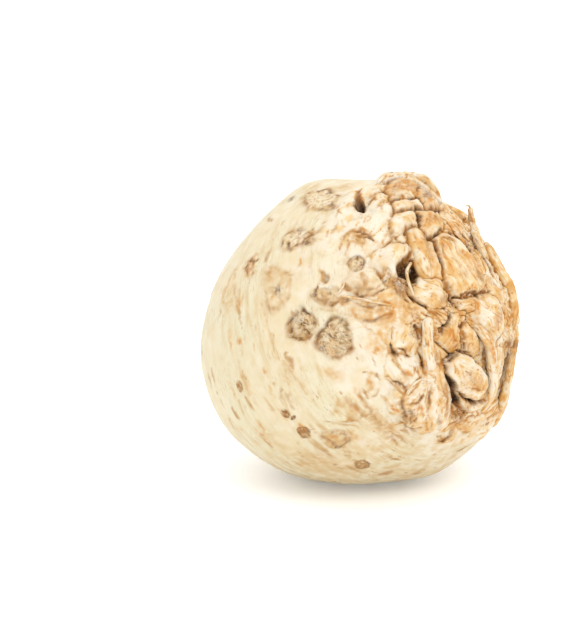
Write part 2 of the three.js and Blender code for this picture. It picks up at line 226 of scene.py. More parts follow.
# A plate fills an outline of pixel places. It has a top, the width of its rounded edge and its dome, in mm,
# and a tone.
PLATES = [
    ("bulb lobe", [
        (342, 222), (355, 216), (372, 210), (381, 202), (388, 201), (393, 206), (393, 212), (388, 220),
        (387, 229), (392, 239), (385, 246), (374, 250), (358, 254), (343, 246),
    ], 2.6, 2.6, 1.4, 0.06),
    ("top bean", [
        (388, 184), (391, 179), (401, 176), (412, 177), (418, 182), (420, 187), (416, 192), (409, 197),
        (399, 198), (393, 197), (390, 191),
    ], 3.2, 2.2, 0.9, 0.75),
    ("second stub", [
        (419, 187), (428, 190), (436, 198), (439, 204), (432, 206), (424, 202), (418, 195),
    ], 2.8, 1.4, 0.4, 0.6),
    ("belt", [
        (394, 199), (406, 197), (417, 198), (422, 202), (423, 205), (413, 207), (402, 209), (396, 213),
        (392, 207),
    ], 2.4, 1.0, 0.3, 0.15),
    ("thumb", [
        (388, 222), (391, 215), (396, 212), (406, 209), (416, 208.5), (420, 215), (420, 223), (414, 228),
        (406, 230), (402, 236), (394, 237), (389, 231),
    ], 3.1, 2.2, 1.3, 0.06),
    ("speckled mass", [
        (420, 210), (427, 208.5), (435, 212), (442, 219), (441, 226), (433, 235), (426, 236), (422, 229),
        (420, 219),
    ], 2.7, 2.0, 0.5, 0.42),
    ("valley fold", [
        (429, 240), (435, 243), (440, 256), (443, 270), (446, 281), (439, 280), (431, 278), (430, 268),
        (428, 252),
    ], 2, 1.8, 0.3, 0.45),
    ("beak", [
        (376, 250), (384, 244), (398, 239), (406, 241), (411, 245), (409, 252), (405, 259), (400, 270),
        (394, 279), (387, 285), (381, 280), (377, 272), (375, 262),
    ], 3.0, 3.0, 0.9, 0.05),
    ("cheek", [
        (413, 280), (420, 276), (432, 277), (441, 278), (446, 284), (448, 294), (449, 304), (443, 309),
        (432, 308), (420, 303), (412, 294), (410, 286),
    ], 2.5, 3.8, 1.3, 0.16),
    ("cheek tail", [
        (404, 293), (414, 297), (424, 306), (437, 310), (447, 306), (452, 312), (449, 321), (440, 328),
        (430, 320), (420, 317), (409, 306),
    ], 0.8, 2.4, 0.4, 0.28),
    ("plate", [
        (434, 238), (438, 233), (448, 232), (460, 239), (469, 249), (477, 260), (484, 272), (487, 283),
        (483, 291), (476, 294), (465, 294), (455, 291), (447.5, 285), (443, 277), (440, 264), (436, 251),
    ], 2.7, 1.4, 0.4, 0.32),
    ("shelf", [
        (484, 256), (490, 262), (495, 274), (501, 288), (498, 291), (490, 280), (485, 268),
    ], 1.0, 1.2, 0.2, 0.1),
    ("far wall", [
        (488, 277), (494, 281), (502, 292), (505, 303), (499, 299), (491, 293),
    ], 1.4, 1.2, 0.3, 0.35),
    ("flesh", [
        (474, 298), (480, 296), (490, 292), (500, 297), (506, 310), (507, 324), (503, 335), (498, 339),
        (488, 332), (480, 322), (474, 312),
    ], 2.9, 2.4, 0.8, 0.16),
    ("brown fold", [
        (457, 312), (464, 314), (466, 320), (462.5, 328), (461.5, 338), (462, 348), (456, 352),
        (449, 350), (442, 346), (437, 338), (440, 333), (447, 328), (453, 321),
    ], 2, 2.4, 0.7, 0.42),
    ("nut", [
        (467, 325), (473, 327), (478, 333), (481, 342), (480, 351), (474, 358), (468, 356), (463.5, 348),
        (461.5, 338), (463, 330),
    ], 3, 2, 0.9, 0.36),
    ("brown bed", [
        (433, 344), (440, 342), (446, 352), (449, 356), (445, 361), (446, 372), (446, 380), (441, 380),
        (436, 368), (433, 356),
    ], 0.9, 2.2, 0.2, 0.45),
    ("shell", [
        (445.8, 361.5), (446.4, 359.2), (451, 355), (456.4, 351.4), (458.4, 351.6), (467.5, 356.6),
        (478.5, 361.5), (485.5, 368), (489.5, 377), (490, 386), (487, 395), (479.5, 402), (471, 400.5),
        (461.5, 394.5), (454.5, 387), (451, 378), (449, 369),
    ], 3.7, 1.2, 0.8, 0.16),
    ("shell lip", [
        (453.5, 389.5), (460, 397), (469, 403), (478, 405), (486, 400), (490, 394), (490, 400),
        (485, 406), (479, 411), (470, 411), (462, 406), (456, 399),
    ], 2.3, 1.1, 0.2, 0.18),
    ("right lobe", [
        (497, 352), (504, 350), (505, 358), (503, 372), (499, 386), (493, 400), (485, 411), (480, 411),
        (488, 402), (493, 388), (496, 374),
    ], 1.3, 1.6, 0.3, 0.12),
    ("clove", [
        (420, 379), (431, 377.5), (441, 381), (446, 388), (448, 396), (449, 408), (448, 419), (443, 430),
        (434, 433), (424, 432), (413, 431), (405, 427), (401, 419), (401, 409), (404, 398), (411, 388),
    ], 3.4, 3.2, 1.8, 0.2),
    ("mottled cushion", [
        (393, 333), (404, 327), (413, 330), (417, 340), (414, 349), (408, 357), (400, 354), (393, 350),
        (391, 341),
    ], 1.2, 2.4, 0.6, 0.16),
    ("white cheek", [
        (389, 358), (398, 355), (408, 358), (417, 362), (423, 371), (422, 379), (411, 386), (403, 387),
        (394, 381), (388, 371),
    ], 1.5, 4, 1, 0),
    ("layered scar", [
        (344, 286), (352, 275), (366, 269), (379, 272), (386, 282), (386, 292), (377, 299), (363, 300),
        (351, 297),
    ], 1.2, 3.0, 0.4, 0.08),
]
# Plates that lie over their neighbours, lumps with no crack round them, forms with a soft edge, forms with
# rings in them, and smooth forms.
LYING = {"shell", "clove"}
BLENDED = {"clove left ridge", "clove middle ridge", "clove right ridge", "under beak", "top fold low"}
SOFT_EDGED = {"layered scar", "lumpy scar", "lumpy scar end", "left ridge foot", "long fold"}
RINGED = {"shell", "shell lip", "layered scar"}
CALM = {
    "plate", "clove", "flesh", "shell", "shell lip", "belt", "thumb", "bulb lobe", "beak", "white cheek",
    "cheek", "layered scar", "nut", "brown bed", "top bean", "clove left ridge", "clove middle ridge",
    "clove right ridge",
}

# Lumps on the far side of the root end, on the map.
FAR_LUMPS = [
    ((44, 31), (54, 40), 11, 0.8, 0.3),
    ((19, 60), (29, 47), 13, 3.2, 0.1),
    ((44, 12), (56, 20), 12, 0.6, 0.2),
    ((48, -10), (53, 2), 11, 1.4, 0.25),
    ((43, -36), (52, -24), 13, 1.2, 0.15),
    ((29, -55), (42, -48), 11, 1.0, 0.3),
    ((32, 49), (44, 52), 11, 0.8, 0.15),
    ((4, -58), (18, -60), 10, 0.6, 0.1),
    ((60, 4), (64, 20), 9, 1.0, 0.1),
    ((54, -22), (60, -8), 9, 1.2, 0.2),
    ((14, 52), (24, 46), 9, 1.0, 0.3),
    ((50, 28), (58, 30), 9, 1.4, 0.15),
    ((34, 14), (40, 22), 9, -0.6, 0.4),
    ((39, -4), (44, 6), 9, -0.4, 0.25),
    ((26, 30), (36, 37), 10, 0.3, 0.3),
    ((41, -18), (46, -12), 9, -0.4, 0.3),
    ((38, -34), (42, -26), 8, -0.4, 0.3),
    ((18, 40), (26, 38), 9, 0.5, 0.35),
    ((44, 42), (50, 50), 8, 1.2, 0.2),
    ((57, -2), (62, 2), 7, 1.6, 0.3),
    ((46, -44), (54, -38), 9, 1.0, 0.2),
]


# How often a place in the picture is moved closer to the skin that shows there.
ROUNDS = 8


def seen(places, lift_over=None):
    """The points that show at pixels of the photograph, standing out of the skin by each place's lift,
    and by what lift_over says of a direction. A ray that misses gives its nearest point to the globe."""
    places = np.array([tuple(p) + (0.0,) * (3 - len(p)) for p in places], float)
    eye = TOWARDS * DISTANCE
    rays = unit(
        -eye
        + (places[:, :1] - PICTURE_CENTRE[0]) * PIXEL * ACROSS
        + (PICTURE_CENTRE[1] - places[:, 1:2]) * PIXEL * UPWARDS
    )
    nearest = -rays @ eye
    missed = DISTANCE**2 - nearest**2
    points = eye + rays * nearest[:, None]
    for _ in range(ROUNDS):
        directions = unit(points)
        reach = skin_radius(directions) + places[:, 2]
        if lift_over:
            reach = reach + lift_over(directions)
        points = eye + rays * (nearest - np.sqrt(np.maximum(0, reach**2 - missed)))[:, None]
    return points


def mapped(places, lift_over=None):
    """The points at places of the map, standing out of the skin as in seen."""
    directions = np.array([on_map(p[0], p[1]) for p in places])
    reach = skin_radius(directions) + np.array([p[2] if len(p) > 2 else 0.0 for p in places])
    if lift_over:
        reach = reach + lift_over(directions)
    return directions * reach[:, None]


def spline(a, b, c, d, t):
    """The place at t, from 0 to 1, on the way from b to c of a smooth curve through a, b, c and d."""
    return 0.5 * (2 * b + (c - a) * t + (2 * a - 5 * b + 4 * c - d) * t**2 + (3 * b - a - 3 * c + d) * t**3)


def closed_curve(corners, steps=5):
    """A smooth closed outline through flat corners."""
    fours = zip(np.roll(corners, 1, 0), corners, np.roll(corners, -1, 0), np.roll(corners, -2, 0))
    return np.array([spline(*four, t) for four in fours for t in np.arange(steps) / steps])


# How far past its outline a plate is looked for, how far the edge of a lying one falls, and the widths of the
# cracks where plates meet and round what lies over them, in mm.
SPARE = 3
LYING_FALL = 1.8
CRACK_WIDTH = 0.26
LYING_CRACK_WIDTH = 0.16
# A height under everything, for a lying plate outside its outline.
BURIED = -9.0


def make_lump(lump, place):
    """A lump's form on the sphere, with what is looked up for each vertex."""
    name, start, end, width, top, tone = lump
    ends = unit(place([(*start, top), (*end, top)])) * RADIUS
    return {"name": name, "tone": tone, "top": top, "start": ends[0], "end": ends[1], "width": width,
            "at": unit(ends.sum(0)), "reach": 0.5 * np.linalg.norm(ends[1] - ends[0]) + width * 1.1}


def make_plate(plate):
    """A plate's form on the sphere: its outline is laid out on the flat that fits it best."""
    name, outline, top, edge, dome, tone = plate
    corners = unit(seen([(*p, top) for p in outline])) * RADIUS
    middle = unit(corners.mean(0))
    flat = np.linalg.svd(corners - corners.mean(0))[2][:2]
    curve = closed_curve(corners @ flat.T)
    centre = curve.mean(0)
    reach = np.linalg.norm(curve - centre, axis=1).max()
    return {"name": name, "tone": tone, "top": top, "edge": edge, "dome": dome, "at": middle, "axes": flat,
            "curve": curve, "centre": centre, "reach": reach + SPARE}


FORMS = [make_plate(plate) for plate in PLATES]
FORMS += [make_lump(("far lump", *lump), mapped) for lump in FAR_LUMPS]
JOINED = len(FORMS)
FORMS += [make_lump(lump, seen) for lump in LUMPS]


def bent(directions):
    """Places on the sphere, shifted about a little so that nothing drawn on it is regular."""
    points = directions * RADIUS
    shift = np.stack([grain(points, 8.0, 2, 11.3 * i) for i in (1, 2, 3)], axis=1) * 1.1
    shift += np.stack([grain(points, 2.4, 1, 7.7 * i) for i in (1, 2, 3)], axis=1) * 0.42
    return points + shift


def form_depth(form, points):
    """How deep points lie inside a form, its height there, and its own coordinates along and across it."""
    if "curve" in form:
        flat = points @ form["axes"].T
        depth = inside_by(flat, form["curve"])
        offset = flat - form["centre"]
        height = form["top"] + form["dome"] * (0.5 - (offset**2).sum(1) / (form["reach"] - SPARE) ** 2)
        if form["name"] in RINGED:
            turn = np.arctan2(offset[:, 1], offset[:, 0])
            return depth, height, turn * 6.0, depth * 1.6
        return depth, height, offset[:, 0], offset[:, 1]
    line = form["end"] - form["start"]
    offset = points - form["start"]
    t = np.clip(offset @ line / (line @ line), 0, 1)
    away_vector = offset - t[:, None] * line
    away = np.linalg.norm(away_vector, axis=1)
    fall = 0.12 if form["name"] in SOFT_EDGED | BLENDED else 0.26
    height = form["top"] - fall * form["width"] * (2 * away / form["width"]) ** 2.5
    across = away_vector @ unit(np.cross(line, form["start"]))
    return form["width"] / 2 - away, height, offset @ unit(line), across


def relief(directions, details=False):
    """How far the flesh stands out of the skin. Plates grow until they meet, and lumps lie over them."""
    points = bent(directions)
    inside = in_root_end(directions)
    ground = GROUND * inside
    if details:
        calm = 1 - 0.75 * far_side(directions)
        ground = ground + inside * calm * (np.abs(grain(points, 4.6, 2, 2.0)) * 1.5 - 0.25)
    first = np.full(len(points), -GROWTH)
    second = np.full(len(points), -GROWTH)
    crest = np.zeros(len(points))
    edge = np.ones(len(points))
    drop = np.zeros(len(points))
    which = np.full(len(points), -1)
    along = np.zeros(len(points))
    across = np.zeros(len(points))
    lying = []
    for number, form in enumerate(FORMS):
        close = np.nonzero(points @ form["at"] > RADIUS - form["reach"] ** 2 / (2 * RADIUS) - 2.5)[0]
        if not len(close):
            continue
        depth, height, form_along, form_across = form_depth(form, points[close])
        if form["name"] in LYING:
            fallen = height - LYING_FALL * np.clip(1 - depth / form["edge"], 0, 1) ** 2
            height = np.where(depth > 0, fallen, BURIED)
        if number >= JOINED or form["name"] in LYING:
            lying.append((number, close, height, form_along, form_across))
            continue
        wins = depth > first[close]
        second[close] = np.where(wins, first[close], np.maximum(second[close], depth))
        won = close[wins]
        first[won] = depth[wins]
        crest[won] = height[wins] if "curve" in form else form["top"]
        edge[won] = form.get("edge", 2.4)
        drop[won] = 0.3 if form["name"] in SOFT_EDGED else 0.8 + 0.12 * form.get("edge", 2.4)
        which[won] = number
        along[won] = form_along[wins]
        across[won] = form_across[wins]
    rim = (first - second) / 2
    met = ramp(second, -GROWTH, -GROWTH + 0.9)
    away = np.clip(1 - rim / edge, 0, 1) ** 2
    fall = drop * met + np.maximum(crest - ground, 0) * (1 - met)
    best = np.where(which >= 0, crest - fall * away, ground)
    # Crack lines where plates meet and round lying plates; dress cuts them and paints them orange and brown as
    # shade with some dirt.
    crack = hump(rim, CRACK_WIDTH) * (0.3 + 0.7 * met) * (which >= 0)
    for number, close, height, form_along, form_across in lying:
        above = height - best[close]
        crack[close] = np.where(above > 0, crack[close] * (1 - ramp(above, 0, 0.4)), crack[close])
        if FORMS[number]["name"] not in BLENDED:
            crack[close] = np.maximum(crack[close], 0.5 * hump(above, LYING_CRACK_WIDTH) * inside[close])
        higher = above > 0
        won = close[higher]
        best[won] = height[higher]
        which[won] = number
        along[won] = form_along[higher]
        across[won] = form_across[higher]
    if details:
        return best, crack, which, along, across
    return best


def touching(places, lift=0.0, place=seen):
    """Points at pixels of the photograph, on the lumps or standing out of them."""
    return place([(p[0], p[1], lift + (p[2] if len(p) > 2 else 0.0)) for p in places], lift_over=relief)


# Hollows: pixel places of a line with the width in mm at each, the depth in mm, and how dark it is.
HOLLOWS = [
    ([(359.4, 190, 0.8), (359.4, 199, 2.4), (358.8, 206, 5.0)], 4.8, 1.0),
    ([(368, 205, 2.2), (374, 198, 1.8)], 1.8, 0.4),
    ([(410.5, 252, 1.2), (406, 262, 3.6), (403, 271, 5.6), (412, 277, 4.4)], 4.4, 1.0),
    ([(412, 262, 2.0), (415, 273, 3.6)], 4.2, 1.0),
    ([(444, 367, 0.5), (445.5, 373, 1.0), (448.8, 381, 2.3), (452, 392, 2.8), (457, 402, 2.8),
      (462, 408, 1.2)], 3.6, 1.0),
    ([(321, 271.5, 1.0), (325.5, 278, 3.0)], 1.3, 0.1),
    ([(342, 303, 2.0), (347, 300.5, 2.4)], 1.2, 0.1),
    ([(345, 285, 1.8), (350, 289, 2.2)], 0.8, 0.12),
    ([(377, 273, 1.0), (378.5, 274.5, 1.0)], 0.8, 0.8),
    ([(426, 240, 1.0), (431, 238, 1.8), (435, 240, 1.2)], 2.0, 0.6),
    ([(505.5, 346, 1.0), (505.5, 356, 1.5), (503, 372, 1.8), (499, 388, 1.6), (493, 402, 0.8)], 2.6, 0.8),
    ([(475, 319, 0.8), (479, 323.5, 1.6), (485, 331, 1.0)], 1.8, 0.75),
    ([(477, 330, 0.6), (482, 341, 1.2), (483.5, 352, 1.2), (481, 358, 0.8)], 1.6, 0.5),
    ([(418, 352, 0.8), (422, 362, 1.4), (425.5, 374, 1.2)], 1.2, 0.12),
]
# Cracks: pixel places, width and depth in mm, and how dark they are.
CRACKS = [
    ([(350, 289), (360, 295.5), (374, 297), (385, 290)], 0.45, 0.35, 0.6),
    ([(353, 283), (364, 289), (376, 289), (383, 283)], 0.45, 0.3, 0.45),
    ([(357, 277), (367, 282), (379, 280)], 0.4, 0.25, 0.3),
    ([(358, 303), (372, 307), (388, 305)], 0.5, 0.35, 0.5),
    ([(356, 318), (372, 321), (391, 315)], 0.5, 0.35, 0.5),
    ([(362, 310), (374, 313), (386, 310)], 0.4, 0.2, 0.35),
    ([(389, 186), (390, 181), (394, 178)], 0.6, 0.7, 0.8),
    ([(392, 186), (402, 187), (414, 186), (418, 183)], 0.5, 0.3, 0.35),
    ([(412, 208), (419, 206.5), (429, 208), (440, 212), (452, 218)], 0.8, 1.2, 0.9),
    ([(393, 199), (406, 197), (418, 198)], 0.6, 0.9, 0.7),
    ([(395, 213), (402, 209.5), (412, 208)], 0.6, 0.9, 0.6),
    ([(419, 214), (418.5, 220), (421, 227)], 0.8, 1.4, 0.95),
    ([(405, 235), (409, 230), (416, 227)], 0.8, 1.4, 0.8),
    ([(421, 229), (426, 236), (433, 236), (440, 230)], 0.7, 1.2, 0.85),
    ([(381, 203), (388, 200.5), (393.5, 206), (394, 212), (389, 219), (388, 228)], 0.5, 0.9, 0.45),
    ([(388, 228), (391, 236), (397, 241)], 0.6, 1.0, 0.6),
    ([(378, 248), (388, 243.5), (398, 238.5)], 0.5, 0.8, 0.4),
    ([(434, 240), (437, 252), (441, 266), (445, 279)], 0.6, 1.2, 0.55),
    ([(441, 231.5), (452, 233), (462, 240), (473, 254)], 0.6, 1.1, 0.7),
    ([(444.5, 281), (449, 292), (452.5, 304)], 0.9, 1.6, 1.0),
    ([(453.5, 296.5), (464, 296.5), (471, 292.7), (478.5, 295.4), (485, 292.2), (490.4, 291)], 0.8, 1.6, 1.0),
    ([(463, 292), (466, 298)], 0.9, 1.2, 1.0),
    ([(455, 226), (459, 236), (464, 243)], 0.5, 0.8, 0.7),
    ([(464, 228), (472, 240), (480, 252)], 0.5, 0.8, 0.6),
    ([(483, 256.5), (489, 265.5), (493.5, 276)], 0.9, 1.4, 1.0),
    ([(493.5, 276), (500, 290), (505, 305)], 0.6, 0.9, 0.6),
    ([(437, 334.5), (443.8, 328), (450.3, 322.5), (453, 316)], 0.7, 1.2, 0.8),
    ([(465.5, 317), (461.7, 327), (461.2, 342), (464, 351)], 0.6, 1.3, 0.9),
    ([(392.8, 344), (395, 353), (398, 355)], 0.6, 0.6, 0.85),
    ([(400, 349.5), (404.7, 352.4), (408, 356.5)], 0.6, 0.6, 0.85),
    ([(413, 326), (416, 331), (418, 337)], 0.6, 0.8, 0.8),
    ([(417, 325), (420, 331), (421.5, 336)], 0.6, 0.8, 0.8),
    ([(395, 379), (401.5, 382), (406, 386.5), (411, 386)], 0.6, 0.9, 0.75),
    ([(402, 368), (406, 374), (408, 379)], 0.4, 0.3, 0.4),
    ([(423, 391), (421, 397.5), (416.6, 404)], 0.5, 0.7, 0.9),
    ([(407, 404.5), (415, 405)], 0.5, 0.7, 0.5),
    ([(433, 386), (429, 393), (428.6, 402), (432, 408)], 0.5, 0.6, 0.7),
    ([(420, 379.5), (410, 390), (406, 396)], 0.7, 1.1, 0.8),
    ([(443, 390), (446, 400), (447, 412)], 0.4, 0.4, 0.4),
    ([(459, 391), (467.6, 398.5), (474, 402), (482, 403), (487.5, 398)], 0.7, 1.9, 1.0),
    ([(440, 439.5), (444, 437.5), (449, 435.5)], 0.4, 0.6, 0.9),
    ([(449, 435.5), (455, 430), (459, 424)], 0.5, 0.6, 0.5),
    ([(457, 451), (467, 446)], 0.5, 0.4, 0.6),
    ([(443.5, 362), (445, 357.5), (456.5, 349.5), (468, 354.5)], 0.6, 1.0, 0.7),
    ([(405, 395), (401.5, 406), (401.5, 418), (406, 428), (420, 433.5)], 0.8, 0.7, 0.55),
    ([(412, 298), (424, 309), (440, 319), (446, 326)], 0.5, 0.6, 0.5),
    ([(417, 301), (428, 309), (443, 316)], 0.4, 0.5, 0.4),
    ([(409, 303), (420, 314), (434, 322)], 0.4, 0.5, 0.4),
    ([(398, 286), (406, 298), (414, 312), (420, 322)], 0.5, 0.7, 0.75),
    ([(404, 290), (412, 300), (419, 309)], 0.5, 0.7, 0.6),
    ([(447, 244), (456, 258), (464, 274), (470, 286)], 0.5, 0.25, 0.3),
    ([(456, 246), (464, 258), (472, 272)], 0.5, 0.25, 0.3),
    ([(466, 247), (474, 262), (479, 276)], 0.4, 0.2, 0.25),
    ([(464, 372), (472, 376), (476, 386), (471, 391)], 0.4, 0.2, 0.35),
    ([(440, 303), (447, 310), (451, 318)], 0.5, 0.8, 0.6),
    ([(500, 300), (505, 314), (504, 328)], 0.5, 0.8, 0.5),
    ([(356.6, 231.5), (349, 232.2), (345, 235)], 0.4, 0.3, 0.6),
    ([(354, 232), (358, 231.3), (366, 234)], 0.5, 0.6, 0.9),
    ([(355.5, 235.8), (360, 235.6), (370, 238.4), (374, 241)], 0.6, 0.7, 0.8),
    ([(252, 258), (248, 264), (246, 270), (248, 275)], 0.8, 0.4, 1.0),
    ([(251, 260), (255, 262), (259, 260)], 0.7, 0.4, 1.0),
    ([(289.8, 243), (291.8, 250.5)], 0.5, 0.3, 0.85),
    ([(312, 230), (310, 238), (302, 245.5), (297, 246)], 0.6, 0.4, 0.8),
    ([(316.8, 310.3), (330, 312), (349, 315), (358, 320), (376, 335)], 0.4, 0.35, 0.3),
    ([(268, 330), (275.4, 354), (292.4, 372.4), (307, 393)], 0.5, 0.3, 0.3),
    ([(360.3, 392), (371, 412), (386, 435), (399, 445)], 0.8, 0.35, 0.4),
    ([(370, 409), (381, 422), (392, 434), (406, 442), (419, 448)], 0.5, 0.3, 0.4),
    ([(378, 412), (388, 425), (398, 434)], 0.4, 0.2, 0.3),
    ([(238, 362), (246, 388), (258, 408)], 0.4, 0.2, 0.3),
    ([(241, 262), (236, 270), (233, 284), (236, 300), (239, 312)], 0.5, 0.3, 0.35),
    ([(236, 268), (229, 280), (223, 296), (220, 308)], 0.5, 0.3, 0.35),
    ([(262, 252), (254, 256), (246, 262), (241, 272)], 0.4, 0.25, 0.3),
    ([(262, 300), (266, 316), (268, 330)], 0.4, 0.25, 0.3),
    ([(288, 270), (291, 274), (293, 279)], 0.4, 0.3, 0.5),
    ([(318, 282), (316, 290), (319, 300), (330, 306), (340, 304)], 0.5, 0.4, 0.7),
    ([(325, 222), (318, 232), (312, 236)], 0.6, 0.4, 0.6),
    ([(322, 436), (334, 442), (345, 447)], 0.5, 0.4, 0.6),
    ([(326, 420), (344, 425), (361, 428)], 0.4, 0.3, 0.4),
]

